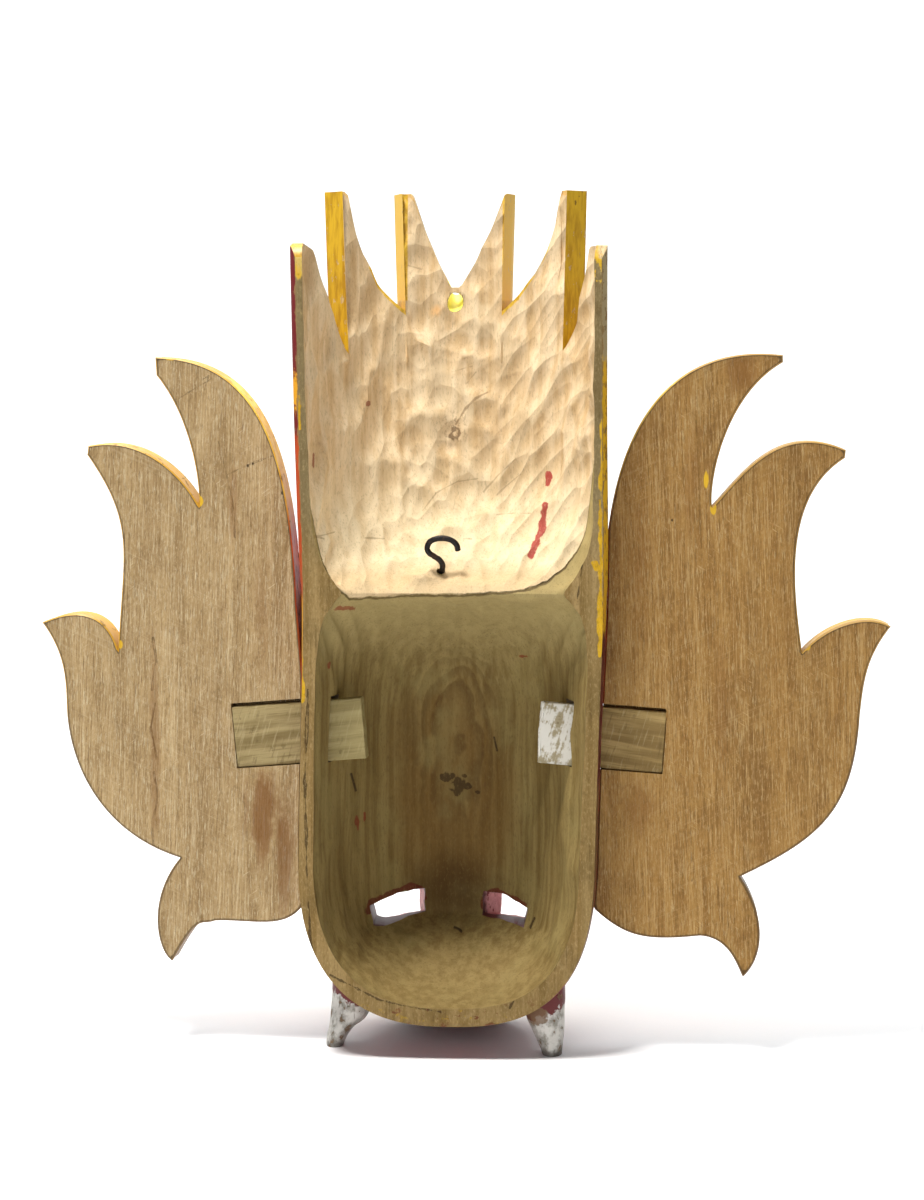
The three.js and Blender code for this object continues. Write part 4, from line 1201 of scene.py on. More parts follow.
class Shader(Nodes):
    """A material, built by socket arithmetic. Lengths are in millimetres of the modelled object."""

    def __init__(self, name, **constants):
        self.material = bpy.data.materials.new(name)
        self.material.use_nodes = True
        super().__init__(self.material.node_tree)
        self.surface = self.tree.nodes["Principled BSDF"]
        for key, value in constants.items():
            self.surface.inputs[key.replace("_", " ")].default_value = value
        self.object_place = self.node("ShaderNodeTexCoord", out="Object")

    def place(self):
        """x, depth and height in millimetres, as the shapes use them."""
        node = self.tree.nodes.new("ShaderNodeSeparateXYZ")
        self.feed(node.inputs[0], self.object_place)
        x, y, z = (Value(self, socket) for socket in node.outputs)
        return (x - AXIS_X) / MM, (RIM_Y - y) / MM, z / MM

    def stretched(self, size, shift=(0, 0, 0), turn=(0, 0, 0)):
        """Object coordinates scaled so that a pattern's unit is size millimetres along each axis."""
        values = {"Vector": self.object_place, "Scale": tuple(1 / (s * MM) for s in size)}
        values.update({"Location": shift, "Rotation": turn})
        return self.node("ShaderNodeMapping", {"vector_type": "POINT"}, values)

    def turned(self, size, turn, shift=(0, 0, 0)):
        """As stretched, but turned first, so that the pattern leans."""
        values = {"Vector": self.object_place, "Rotation": turn}
        lean = self.node("ShaderNodeMapping", {"vector_type": "POINT"}, values)
        values = {"Vector": lean, "Scale": tuple(1 / (s * MM) for s in size), "Location": shift}
        return self.node("ShaderNodeMapping", {"vector_type": "POINT"}, values)

    def noise(self, size, detail=3, rough=0.55, bend=0, shift=(0, 0, 0), turn=None):
        vector = self.turned(size, turn, shift) if turn else self.stretched(size, shift)
        values = {"Vector": vector, "Scale": 1.0, "Detail": detail, "Roughness": rough, "Distortion": bend}
        return self.node("ShaderNodeTexNoise", {"noise_dimensions": "3D"}, values)

    def cells(self, size, shift=(0, 0, 0), turn=None, feature="F1", out="Distance"):
        vector = self.turned(size, turn, shift) if turn else self.stretched(size, shift)
        return self.node("ShaderNodeTexVoronoi", {"feature": feature}, {"Vector": vector, "Scale": 1.0}, out)

    def layer(self, name):
        return self.node("ShaderNodeAttribute", {"attribute_name": name}, out="Fac")

    def mix(self, share, a, b):
        return self.node("ShaderNodeMix", {"data_type": "RGBA"}, {0: share, 6: a, 7: b}, out=2)

    def line_gap(self, x, z, line):
        """Distance in millimetres from a polyline of (x, z) places."""
        gaps = []
        for a, b in zip(line[:-1], line[1:]):
            start, run = [float(v) for v in a], [float(v) for v in b - a]
            gaps.append(self.worked(stroke_gap, x, z, *start, *run))
        return nearest(gaps)

    def spot(self, x, z, centre, wide, high):
        return self.worked(spot_gap, x, z, float(centre[0]), float(centre[1]), float(wide), float(high))

    def streaks(self, x, z, marks, depth, wobble, soft=0.3):
        """1 on lines followed on the photograph, given as (pixels, half width), with edges that wobble."""
        shares = []
        for pixels, width in marks:
            gap = self.line_gap(x, z, traced(pixels, depth)) + wobble
            shares.append(gap.rise(width + soft, width - soft))
        return united(shares)

    def blots(self, x, z, marks, wobble, full, none):
        """1 in oval marks given as (px, py, depth, wide, high), with edges that wobble."""
        return united([
            (self.spot(x, z, seen(px, py, depth), wide, high) + wobble).rise(none, full)
            for px, py, depth, wide, high in marks
        ])

    def grit(self, colour, strength, pale):
        """Dark and pale specks of a millimetre or two all over a bare wood."""
        speck = self.noise((1.0, 1.0, 2.6), 3, 0.7, shift=(7, 7, 7))
        colour = self.mix(speck.rise(0.53, 0.68) * strength, colour, GRIME_AND_SHADE)
        return self.mix(speck.rise(0.47, 0.34) * strength * 0.7, colour, pale)

    def done(self, colour, rough=None, height=None, depth=0.2, strength=1.0, metal=None):
        """Connects what varies. height is in units of depth millimetres."""
        self.feed(self.surface.inputs["Base Color"], colour)
        if rough is not None:
            self.feed(self.surface.inputs["Roughness"], rough)
        if metal is not None:
            self.feed(self.surface.inputs["Metallic"], metal)
        if height is not None:
            values = {"Strength": strength, "Distance": depth * MM, "Height": height}
            self.feed(self.surface.inputs["Normal"], self.node("ShaderNodeBump", {}, values, out="Normal"))
        return self.material


# The woods and paints

PALE = (tint(219, 194, 156), tint(192, 160, 115))
STAINED = (tint(144, 124, 76), tint(116, 95, 52))
YELLOW = (tint(214, 170, 38), tint(168, 126, 20))
RED = (tint(150, 34, 26), tint(92, 18, 16))
ORANGE = (tint(206, 92, 30), tint(160, 58, 22))
PINK = tint(196, 120, 124)
DARK = tint(44, 30, 16)
# A dark tone for grime, pores and specks, and for painted shade along the hollow's edges at the rim.
GRIME_AND_SHADE = tint(84, 66, 36)


def fibres(s):
    """Upright wood grain: a fine one, a broad one and short pores."""
    fine = s.noise((0.9, 0.9, 34), 4, 0.6)
    broad = s.noise((4.5, 4.5, 120), 3, 0.55, shift=(3, 1, 0))
    pores = s.noise((0.45, 0.45, 7), 2, 0.5, shift=(0, 7, 2)).rise(0.62, 0.72)
    return fine, broad, pores


def growth_rings(s, x, depth, z, wobble):
    """Yearly rings round a pith that lies ahead of the hollow's wall and bows away from it above and below its
    middle, so that the wall cuts them in long ovals."""
    off = z - 160
    ahead = RING_PITH - depth + off * off * 0.0011
    across = x - 1.5 - off * 0.02
    radius = (across * across * 0.8 + ahead * ahead).sqrt()
    turn = ((radius + wobble) / RING_STEP).fract()
    return turn.rise(0.0, 0.8) * turn.rise(1.0, 0.85) * s.spot(x, z, (0.5, 162), 33, 58).rise(1.2, 0.5)


RING_PITH = 118
RING_STEP = 3.4

RED_SPLASH = [(549, 473), (548, 484)], [(546, 503), (542, 524), (536, 540), (532, 551)]
KNOT = (455, 430)
KNOT_CRACK = [(456, 424), (466, 408), (476, 398), (488, 392)]
# Oval marks: x and y in pixels, depth, half width and half height in millimetres
FACE_STAINS = [
    (447, 778, 78, 3.85, 2.4), (457, 785, 78, 3.85, 3.75), (468, 787, 78, 2.24, 1.65),
    (477, 792, 78, 1.68, 1.2), (464, 776, 78, 1.4, 0.825),
]
RED_FLECKS = [
    (356, 828, 40, 1, 3.4), (362, 822, 40, 0.8, 2.4), (333, 660, 40, 1, 2.2), (350, 603, 40, 4.4, 1.6),
    (522, 661, 40, 3, 1), (370, 403, 60, 1.6, 1.7), (322, 455, 60, 0.6, 3.2),
]
SLITS = [[(494, 738), (497, 751)], [(535, 909), (531, 918)], [(356, 764), (360, 782)], [(455, 925), (462, 928)]]
CUT_LINES = [
    [(424, 509), (437, 492), (459, 480)], [(484, 491), (499, 474), (519, 455)], [(497, 494), (509, 483), (521, 473)],
    [(440, 490), (458, 481), (478, 478)], [(497, 513), (514, 511), (531, 511)], [(366, 536), (386, 537)],
    [(464, 538), (472, 538)],
    [(404, 264), (421, 269)], [(452, 372), (472, 366)], [(466, 384), (476, 372)], [(310, 525), (330, 534)],
    [(313, 533), (338, 529)],
]
SLOT_RED = [
    [(372, 901), (374, 893), (390, 889), (412, 884), (421, 888), (424, 897)],
    [(484, 905), (484, 893), (492, 889), (503, 891), (524, 897)],
]
SLOPE_YELLOW = [[(372, 275), (387, 296), (404, 309)], [(501, 311), (524, 296), (545, 278), (556, 252)]]


def nearest(gaps):
    """The smallest of several distances."""
    return functools.reduce(Value.smaller, gaps)


def united(shares):
    """The largest of several shares."""
    return functools.reduce(Value.larger, shares)


def middle_flame_faces(x, z):
    """1 on the narrow upright faces of the crown's two middle flames."""
    return x.band(26.2, 34, 0.3).larger(x.band(-34, -24.8, 0.3)) * z.rise(401, 402.5)


def hollow_wood():
    """The bare wood inside: fresh and pale in the crown with gouge scoops all over, stained olive brown in the
    face hollow. Painted light and shade lie over it: on the scoops, on the crown's low floor, under the ledge
    and its lip, on the face hollow's floor and low down in its middle, and along the hollow's edges at the rim."""
    s = Shader("bare wood of the hollows", Roughness=0.78, Specular_IOR_Level=0.18)
    x, depth, z = s.place()
    fine, broad, pores = fibres(s)
    patch = s.noise((26, 26, 34), 3, 0.5, shift=(2, 5, 1))
    mottle = s.noise((7, 7, 10), 3, 0.6, shift=(9, 5, 4))
    edge_wave = s.noise((5, 5, 5), 2, 0.5)
    rings = growth_rings(s, x, depth, z, patch * 9 + broad * 1.6)
    fresh_run = s.layer("fresh") - REACH + (edge_wave - 0.5) * 2.4
    fresh = fresh_run.rise(-0.5, 0.6)
    rounded = s.cells((12.5, 16, 14), shift=(1, 2, 3), turn=(0, 0.3, 0))
    upright = s.cells((8.5, 16, 21), shift=(5, 2, 3))
    leaning = s.cells((7, 16, 30), shift=(4, 1, 2), turn=(0, 0.62, 0))
    scoops = rounded + (leaning - rounded) * x.rise(-16, -30) + (upright - rounded) * x.rise(30, 42)
    scoops = scoops ** 1.6
    pale = s.mix(broad.rise(0.3, 0.72), PALE[0], PALE[1])
    pale = s.mix(fine.rise(0.55, 0.8) * 0.4, pale, tint(166, 132, 86))
    pale = s.mix(patch.rise(0.52, 0.7) * 0.5, pale, tint(184, 152, 108))
    pale = s.mix(mottle.rise(0.58, 0.74) * 0.45, pale, tint(172, 138, 94))
    # Painted light and shade on the gouge scoops: paler towards their ridges, darker in their middles.
    pale = s.mix(scoops.rise(0.3, 0.6) * 0.35, pale, tint(226, 206, 170))
    pale = s.mix(scoops.rise(0.16, 0.02) * 0.25, pale, tint(176, 146, 104))
    # Painted light on the crown's sloping floor, which the light from above falls on.
    pale = s.mix(z.rise(330, 275) * 0.45, pale, tint(238, 222, 184))
    pale = s.mix(z.rise(266, 256) * 0.7, pale, tint(190, 162, 120))
    stained = s.mix(broad.rise(0.34, 0.68), STAINED[0], STAINED[1])
    middle = s.spot(x, z, (2, 130), 46, 92) + (patch - 0.5) * 0.6
    stained = s.mix(middle.rise(1.0, 0.35) * 0.65, stained, tint(112, 80, 34))
    stained = s.mix(rings * 0.5, stained, tint(78, 56, 22))
    stained = s.mix(fine.rise(0.5, 0.75) * 0.35, stained, tint(92, 70, 34))
    stained = s.mix(patch.rise(0.5, 0.68) * 0.4, stained, tint(150, 134, 84))
    stained = s.mix(mottle.rise(0.6, 0.74) * 0.3, stained, tint(92, 72, 36))
    # Painted light: paler towards the roof under the ledge and on the face hollow's floor.
    stained = s.mix(z.rise(196, 238) * 0.6, stained, tint(172, 154, 104))
    stained = s.mix(z.rise(58, 40) * 0.3, stained, tint(152, 128, 80))
    # Painted shade low in the face hollow's middle, just above its floor.
    low_shade = s.spot(x, z, (3, 76), 34, 26) + (mottle - 0.5) * 0.4
    stained = s.mix(low_shade.rise(1.1, 0.2) * 0.7, stained, tint(70, 46, 14))
    colour = s.mix(fresh, stained, pale)
    # Painted shadow: a dark line just under the ledge's lip, below where the fresh wood ends.
    line = fresh_run.band(-1.3, -0.2, 0.4) * z.rise(300, 262)
    colour = s.mix(line * 0.8, colour, tint(70, 52, 26))
    knot = seen(*KNOT, 62)
    knot_gap = s.spot(x, z, knot, 5.5, 6.5) + (mottle - 0.5) * 1.6
    colour = s.mix(knot_gap.rise(1.3, 0.5) * 0.35, colour, tint(150, 112, 66))
    hole = s.spot(x, z, knot + (0, -2.0), 3.2, 4.0) + (edge_wave - 0.5) * 2.8 + (mottle - 0.5) * 1.6
    colour = s.mix(hole.rise(1.1, 0.8) * hole.rise(0.25, 0.55) * 0.7, colour, tint(84, 58, 34))
    chips = s.noise((1.6, 1.6, 2.2), 3, 0.6, shift=(8, 3, 2)).rise(0.54, 0.62)
    chips = chips * s.spot(x, z, knot + (0, 2), 8, 11).rise(1.2, 0.5)
    colour = s.mix(chips * 0.45, colour, tint(120, 88, 52))
    crack = s.line_gap(x, z, traced(KNOT_CRACK, 62)) + (edge_wave - 0.5) * 1.4 + (mottle - 0.5) * 1.2
    colour = s.mix(crack.absolute().rise(0.8, 0.25) * 0.55, colour, tint(110, 78, 42))
    cuts = [s.line_gap(x, z, traced(pixels, 60 if pixels[0][1] < 520 else 45)) for pixels in CUT_LINES]
    cuts = nearest(cuts) + (edge_wave - 0.5) * 1.1
    cut_step = (cuts.absolute() + (mottle - 0.5) * 1.2).rise(0.55, 0.05) * z.rise(262, 268)
    colour = s.mix(cut_step * 0.4, colour, tint(116, 86, 50))
    red = s.streaks(x, z, zip(RED_SPLASH, (1.3, 1.7)), 52, (mottle - 0.5) * 5 + (edge_wave - 0.5) * 2.5)
    colour = s.mix(red * 0.9, colour, tint(158, 40, 42))
    flecks = s.blots(x, z, RED_FLECKS, (edge_wave - 0.5) * 2.2 + (mottle - 0.5) * 1.6, 0.8, 1.05)
    colour = s.mix(flecks * 0.7, colour, tint(126, 38, 28))
    smudge = s.spot(x, z, seen(436, 310, 60), 4.5, 3.2) + (mottle - 0.5) * 2
    colour = s.mix(smudge.rise(1.2, 0.2) * 0.5, colour, tint(224, 160, 76))
    stains = s.blots(x, z, FACE_STAINS, (edge_wave - 0.5) * 2.6 + (mottle - 0.5) * 1.8, 0.8, 1.1)
    colour = s.mix(stains * 0.75, colour, tint(48, 30, 10))
    slits = nearest([s.line_gap(x, z, traced(pixels, 74)) for pixels in SLITS]).rise(0.75, 0.3)
    colour = s.mix(slits * 0.85, colour, tint(40, 26, 12))
    splash = nearest([s.line_gap(x, z, traced(pixels, 79)) for pixels in SLOT_RED]) + (mottle - 0.5) * 4.5
    colour = s.mix(splash.rise(2.0, 1.4) * 0.8, colour, tint(92, 22, 20))
    trim = nearest([s.line_gap(x, z, traced(pixels, 52)) for pixels in SLOPE_YELLOW]).rise(5.0, 4.0)
    trim = trim * (s.layer("top_edge") + (edge_wave - 0.5) * 1.6).rise(REACH - 2.3, REACH - 1.8)
    colour = s.mix(trim * 0.9, colour, YELLOW[0])
    tips = (s.layer("top_edge") + (mottle - 0.5) * 5 + z * 0.12 - 53).rise(REACH - 0.6, REACH)
    colour = s.mix(tips * 0.6, colour, tint(196, 150, 60))
    face = middle_flame_faces(x, z)
    face_colour = s.mix(edge_wave.rise(0.4, 0.6), tint(212, 170, 44), tint(186, 144, 30))
    face_colour = s.mix(x.rise(-30.2, -30.8) * (z + mottle * 20).rise(438, 442), face_colour, tint(112, 34, 32))
    colour = s.mix(face * 0.92, colour, face_colour)
    # A darker strip along the hollow's edges at the rim: painted shadow line, with grime.
    rim = s.layer("rim_edge").rise(REACH - 1.4, REACH - 0.2)
    colour = s.mix(rim * 0.3, colour, GRIME_AND_SHADE)
    colour = s.mix(pores * 0.3, colour, GRIME_AND_SHADE)
    colour = s.grit(colour, fresh * -0.1 + 0.34, s.mix(fresh, tint(142, 118, 72), tint(224, 204, 164)))
    height = mottle * 0.6 + fresh * scoops * 8
    return s.done(colour, fine * 0.12 + 0.7, height, 0.34)


RIM_YELLOW = [
    ([(301, 640), (302, 700)], 0.7), ([(603, 382), (602, 440), (601, 500)], 0.5),
    ([(600, 500), (601, 560), (600, 655)], 0.7),
    ([(594, 563), (597, 567)], 1.5), ([(299, 396), (299, 428)], 0.5),
]
RIM_CRACKS = [
    [(308, 690), (305, 780), (307, 880), (312, 955)], [(583, 560), (577, 600), (575, 640), (580, 700)],
    [(330, 975), (380, 1000), (440, 1012)], [(519, 985), (517, 995), (510, 1008)],
]


def rim_wood():
    """The flat rim behind: sawn wood, greyer and grimier than the hollows, with paint run over from the sides and
    painted shade on its right side below the crown.
    """
    s = Shader("sawn wood of the rim", Roughness=0.78, Specular_IOR_Level=0.15)
    x, _, z = s.place()
    fine, broad, _ = fibres(s)
    patch = s.noise((16, 16, 30), 3, 0.55, shift=(4, 4, 1))
    mottle = s.noise((5, 5, 8), 4, 0.6, shift=(1, 6, 4))
    wave = s.noise((4, 4, 9), 2, 0.5)
    colour = s.mix(broad.rise(0.32, 0.7), tint(158, 132, 86), tint(124, 98, 54))
    colour = s.mix(fine.rise(0.5, 0.76) * 0.4, colour, tint(98, 76, 40))
    colour = s.mix(z.rise(255, 300) * 0.65, colour, tint(118, 106, 76))
    colour = s.mix(z.rise(64, 34) * 0.4, colour, tint(112, 92, 54))
    # Painted shade: the mask's right side, away from the light, is darker below the crown.
    colour = s.mix(x.rise(-66, -70) * z.rise(262, 240) * 0.35, colour, tint(104, 84, 42))
    colour = s.mix(patch.rise(0.5, 0.68) * 0.5, colour, tint(104, 84, 46))
    colour = s.mix(mottle.rise(0.56, 0.7) * 0.4, colour, tint(160, 138, 94))
    cracks = nearest([(s.line_gap(x, z, traced(pixels, 0)) + (wave - 0.5) * 3.5).absolute() for pixels in RIM_CRACKS])
    cracks = (cracks + (mottle - 0.5) * 1.2).rise(0.6, 0.15)
    colour = s.mix(cracks * 0.75, colour, DARK)
    paint = s.streaks(x, z, RIM_YELLOW, 0, (patch - 0.5) * 5 + (wave - 0.5) * 3 + (mottle - 0.5) * 3)
    colour = s.mix(paint, colour, s.mix(wave, YELLOW[0], YELLOW[1]))
    top = s.spot(x, z, seen(300, 258, 0), 8.5, 10.5) + (patch - 0.5) * 1.2 + (wave - 0.5)
    other_top = s.spot(x, z, seen(602, 258, 0), 4.5, 9.5) + (mottle - 0.5) * 3.5
    top = top.smaller(other_top)
    colour = s.mix(top.rise(1.1, 0.9) * 0.9, colour, s.mix(wave.rise(0.4, 0.6), YELLOW[0], tint(206, 176, 96)))
    blots = s.noise((5, 5, 4), 3, 0.6, shift=(1, 2, 8)).rise(0.58, 0.64) * z.rise(38, 24)
    colour = s.mix(blots * 0.7, colour, tint(92, 32, 24))
    olive = s.noise((4, 4, 3), 3, 0.6, shift=(4, 2, 3)).rise(0.62, 0.68) * z.rise(34, 26)
    colour = s.mix(olive * 0.6, colour, tint(160, 128, 40))
    colour = s.mix(patch.rise(0.5, 0.6) * fine.rise(0.5, 0.7) * 0.3, colour, DARK)
    colour = s.grit(colour, 0.4, tint(186, 162, 114))
    height = fine * 0.4 + broad * 0.4 + mottle * 0.7
    return s.done(colour, fine * 0.12 + 0.7, height, 0.34)


def crown_cut_paint():
    """The crown's cut faces: yellow paint with brush marks, worn to the wood here and there, bare in the middle
    gap."""
    s = Shader("yellow paint of the crown's cuts", Roughness=0.5, Specular_IOR_Level=0.45)
    x, _, z = s.place()
    fine, _, _ = fibres(s)
    brush = s.noise((3, 3, 14), 3, 0.6)
    chip = s.noise((4, 4, 7), 4, 0.65, shift=(5, 1, 3))
    paint = s.mix(brush.rise(0.35, 0.7), tint(206, 164, 34), tint(168, 124, 16))
    paint = s.mix(chip.rise(0.6, 0.72) * 0.6, paint, tint(120, 80, 26))
    wood = s.mix(fine.rise(0.4, 0.7), tint(206, 180, 134), tint(160, 130, 86))
    face = middle_flame_faces(x, z)
    middle = (x.absolute() - (z - 409) * 0.46).rise(4.8, 4.0) * (1 - face)
    paint = s.mix(face, paint, tint(216, 174, 44))
    right_tip = x.rise(-74, -77)
    worn = chip.rise(0.62, 0.66)
    bare = middle.larger(worn * 0.8).larger(right_tip * chip.rise(0.35, 0.45))
    colour = s.mix(bare, paint, wood)
    spot = s.spot(x, z, (HOLE_PLACE[0], HOLE_PLACE[2]), 5.4, 6.5) + (chip - 0.5)
    colour = s.mix(spot.rise(1.1, 0.9), colour, tint(236, 226, 110))
    dark = s.noise((3, 3, 5), 3, 0.6, shift=(7, 2, 9)).rise(0.63, 0.68) * z.rise(440, 458)
    colour = s.mix(dark * 0.9, colour, tint(60, 28, 22))
    height = brush * 0.5 + chip * 0.4 - bare * 0.5
    return s.done(colour, bare * 0.25 + 0.42, height, 0.25)


def front_paint():
    """Everything painted on the outside: red skin, black brows, yellow lips and bands, worn at the rim."""
    s = Shader("gloss paint of the outside", Specular_IOR_Level=0.28, Coat_Roughness=0.3)
    x, _, z = s.place()
    fine, _, _ = fibres(s)
    wave = s.noise((2.5, 2.5, 2.5), 2, 0.5) - 0.5
    patch = s.noise((18, 18, 22), 4, 0.6)
    chip = s.noise((5, 5, 8), 4, 0.68, shift=(3, 8, 1))

    def inside(name, by=0.0):
        return (s.layer(name) - REACH - by + wave * 0.8).rise(-0.35, 0.35)

    colour = s.mix(patch.rise(0.35, 0.7), RED[0], RED[1])
    crown = z.rise(244, 247)
    flames = s.mix(z.rise(300, 420), ORANGE[1], ORANGE[0])
    colour = s.mix(crown * 0.75, colour, flames)
    colour = s.mix(inside("rib"), colour, s.mix(patch, tint(206, 158, 40), tint(226, 190, 70)))
    colour = s.mix(inside("jewel"), colour, tint(28, 70, 48))
    colour = s.mix(inside("jewel", 3), colour, tint(160, 28, 24))
    colour = s.mix(inside("band"), colour, s.mix(patch, YELLOW[0], YELLOW[1]))
    colour = s.mix(inside("boss"), colour, tint(40, 84, 60))
    colour = s.mix(inside("boss", 3.5), colour, tint(226, 220, 200))
    colour = s.mix(inside("mouth"), colour, tint(40, 10, 10))
    colour = s.mix(inside("lip"), colour, tint(212, 168, 50))
    colour = s.mix(inside("tongue"), colour, tint(190, 60, 58))
    colour = s.mix(inside("nose") * z.rise(118, 112), colour, tint(80, 16, 14))
    colour = s.mix(inside("lid"), colour, tint(214, 172, 52))
    colour = s.mix(inside("brow"), colour, tint(24, 20, 18))
    left, right = x.rise(60, 62), x.rise(-60, -62)
    side_way = s.layer("rim_edge").rise(0.2, 1.2)
    left_colour = s.mix(z.rise(196, 206), tint(96, 74, 42), tint(176, 66, 22))
    left_colour = s.mix((z + wave * 14).rise(326, 334), left_colour, tint(104, 12, 18))
    yellow_left = (z + wave * 20).band(345, 362, 3).larger((z + wave * 16).band(214, 246, 3))
    left_colour = s.mix(yellow_left, left_colour, tint(214, 150, 26))
    right_colour = s.mix((z + wave * 10).rise(226, 232), tint(82, 18, 14), tint(206, 158, 24))
    right_colour = s.mix((z + wave * 10).rise(152, 142), right_colour, tint(100, 72, 38))
    right_colour = s.mix((z + wave * 10).rise(366, 374), right_colour, tint(158, 140, 100))
    right_colour = s.mix(chip.rise(0.55, 0.6) * 0.6, right_colour, tint(96, 60, 26))
    colour = s.mix(side_way * left, colour, left_colour)
    colour = s.mix(side_way * right, colour, right_colour)
    worn = chip.rise(0.63, 0.66).larger((s.layer("rim_edge") + chip * 10).rise(REACH + 3.6, REACH + 4.4))
    wood = s.mix(fine.rise(0.4, 0.7), tint(150, 122, 78), tint(104, 80, 46))
    colour = s.mix(worn * 0.85, colour, wood)
    low_red = s.noise((6, 6, 5), 3, 0.6, shift=(5, 2, 1)).rise(0.5, 0.56) * z.rise(40, 24)
    colour = s.mix(low_red * 0.7, colour, tint(96, 24, 20))
    height = patch * 0.3 + chip * 0.3 - worn * 0.6 + fine * worn * 0.4
    s.feed(s.surface.inputs["Coat Weight"], (1 - side_way.larger(worn)) * 0.25)
    return s.done(colour, worn * 0.35 + patch * 0.12 + side_way * 0.25 + 0.3, height, 0.3)


def slot_paint():
    """The walls of the mouth slots: pink undercoat with dark red runs and bare edges."""
    s = Shader("pink undercoat of the slots", Roughness=0.55)
    _, depth, z = s.place()
    chip = s.noise((4, 4, 5), 4, 0.6)
    runs = s.noise((3, 3, 6), 3, 0.6, shift=(5, 1, 3))
    colour = s.mix(chip.rise(0.35, 0.7), tint(222, 150, 150), PINK)
    colour = s.mix(runs.rise(0.58, 0.64), colour, tint(130, 34, 40))
    colour = s.mix((depth + chip * 7).rise(84.6, 82.2), colour, tint(92, 30, 26))
    high = depth.rise(170, 160)
    tenon_room = z.rise(120, 130)
    colour = s.mix(tenon_room * high, colour, tint(104, 82, 48))
    crown = z.rise(380, 385)
    colour = s.mix(crown, colour, tint(240, 228, 104))
    return s.done(colour, chip * 0.2 + 0.45, chip * 0.6 + runs * 0.4, 0.25)


def board_wood(side):
    """The back of a side board: bare coarse wood with strong upright grain, pale flecks and a dark outline."""
    s = Shader(SIDE_NAMES[side] + " board's bare wood", Roughness=0.74, Specular_IOR_Level=0.22)
    x, _, z = s.place()
    lean = (0, math.radians(2.2 * side), 0)
    fine = s.noise((0.75, 3, 26), 4, 0.62, turn=lean, shift=(side, 0, 0))
    broad = s.noise((5.5, 9, 150), 4, 0.6, turn=lean, shift=(side * 3, 2, 0))
    bands = s.noise((15, 12, 260), 3, 0.5, turn=lean, shift=(side * 5, 2, 0))
    patch = s.noise((32, 20, 60), 3, 0.5, shift=(side * 2, 6, 3))
    flecks = s.noise((0.55, 3, 6.5), 3, 0.6, turn=lean, shift=(2, side, 5))
    pores = s.noise((0.5, 3, 9), 2, 0.5, turn=lean, shift=(6, side, 1))
    if side > 0:
        tones = tint(176, 149, 106), tint(154, 127, 86), tint(124, 97, 60), tint(212, 194, 158)
    else:
        tones = tint(164, 126, 70), tint(142, 104, 52), tint(106, 73, 32), tint(200, 170, 118)
    scuff = s.noise((7, 5, 11), 4, 0.65, shift=(side, 3, 8))
    colour = s.mix(broad.rise(0.32, 0.68), tones[0], tones[1])
    colour = s.mix(bands.rise(0.45, 0.66) * 0.4, colour, tones[2])
    colour = s.mix(patch.rise(0.52, 0.7) * 0.4, colour, tones[2])
    colour = s.mix(fine.rise(0.5, 0.66) * 0.6, colour, tones[2])
    colour = s.mix(fine.rise(0.46, 0.34) * 0.4, colour, tones[3])
    colour = s.mix(scuff.rise(0.5, 0.66) * 0.4, colour, tones[0])
    colour = s.mix(scuff.rise(0.42, 0.3) * 0.35, colour, tones[2])
    colour = s.mix(flecks.rise(0.57, 0.65) * 0.7, colour, tones[3])
    scratches = s.noise((9, 6, 0.7), 3, 0.6, turn=(0, math.radians(-34 * side), 0), shift=(side, 8, 4))
    colour = s.mix(scratches.rise(0.63, 0.68) * scuff.rise(0.5, 0.6) * 0.5, colour, tones[3])
    colour = s.grit(colour, 0.3, tones[3])
    colour = s.mix(pores.rise(0.63, 0.7) * 0.5, colour, tint(90, 64, 34))
    saw = s.noise((60, 20, 1.1), 2, 0.5, turn=(0, math.radians(24 * side), 0), shift=(3, 1, 0))
    colour = s.mix(saw.rise(0.6, 0.7) * 0.12, colour, tones[3])
    wander = (fine - 0.5) * 2.2 + (broad - 0.5) * 3.2 + (scuff - 0.5) * 1.6
    marks = united([
        (s.line_gap(x, z, traced(pixels, BOARD_DEPTH)) + wander).absolute().rise(width + 0.35, width - 0.25)
        for pixels, width in BOARD_CRACKS[side]
    ])
    marks = marks * (scuff + fine * 0.6).rise(0.66, 0.84)
    colour = s.mix(marks * 0.75, colour, tint(64, 46, 26))
    for px, py, wide, high, strong in BOARD_STAINS[side]:
        gap = s.spot(x, z, seen(px, py, BOARD_DEPTH), wide, high)
        gap = gap + (broad - 0.5) * 2.4 + (fine - 0.5) * 1.4 + (scuff - 0.5)
        colour = s.mix(gap.rise(1.1, 0.3) * strong, colour, tint(112, 68, 22))
    drilled = [(px, py, BOARD_DEPTH, size, size * 1.5) for px, py, size in BOARD_HOLES[side]]
    holes = s.blots(x, z, drilled, (fine - 0.5) * 0.6, 0.6, 1.1)
    colour = s.mix(holes * 0.85, colour, tint(46, 30, 14))
    border = s.layer("rim_edge") + (fine - 0.5) * 0.7
    colour = s.mix(border.rise(REACH - 1.7, REACH - 0.8) * 0.75, colour, tint(58, 44, 28))
    for px, py, wide, high in BOARD_YELLOW[side]:
        gap = s.spot(x, z, seen(px, py, BOARD_DEPTH), wide, high) + (broad - 0.5) * 1.5 + (fine - 0.5) * 0.8
        colour = s.mix(gap.rise(1.15, 0.85) * 0.9, colour, YELLOW[0])
    height = fine * 0.45 + broad * 0.3 + scuff * 0.6 + flecks.rise(0.6, 0.7) * 0.4
    return s.done(colour, fine * 0.14 + 0.68, height, 0.36)


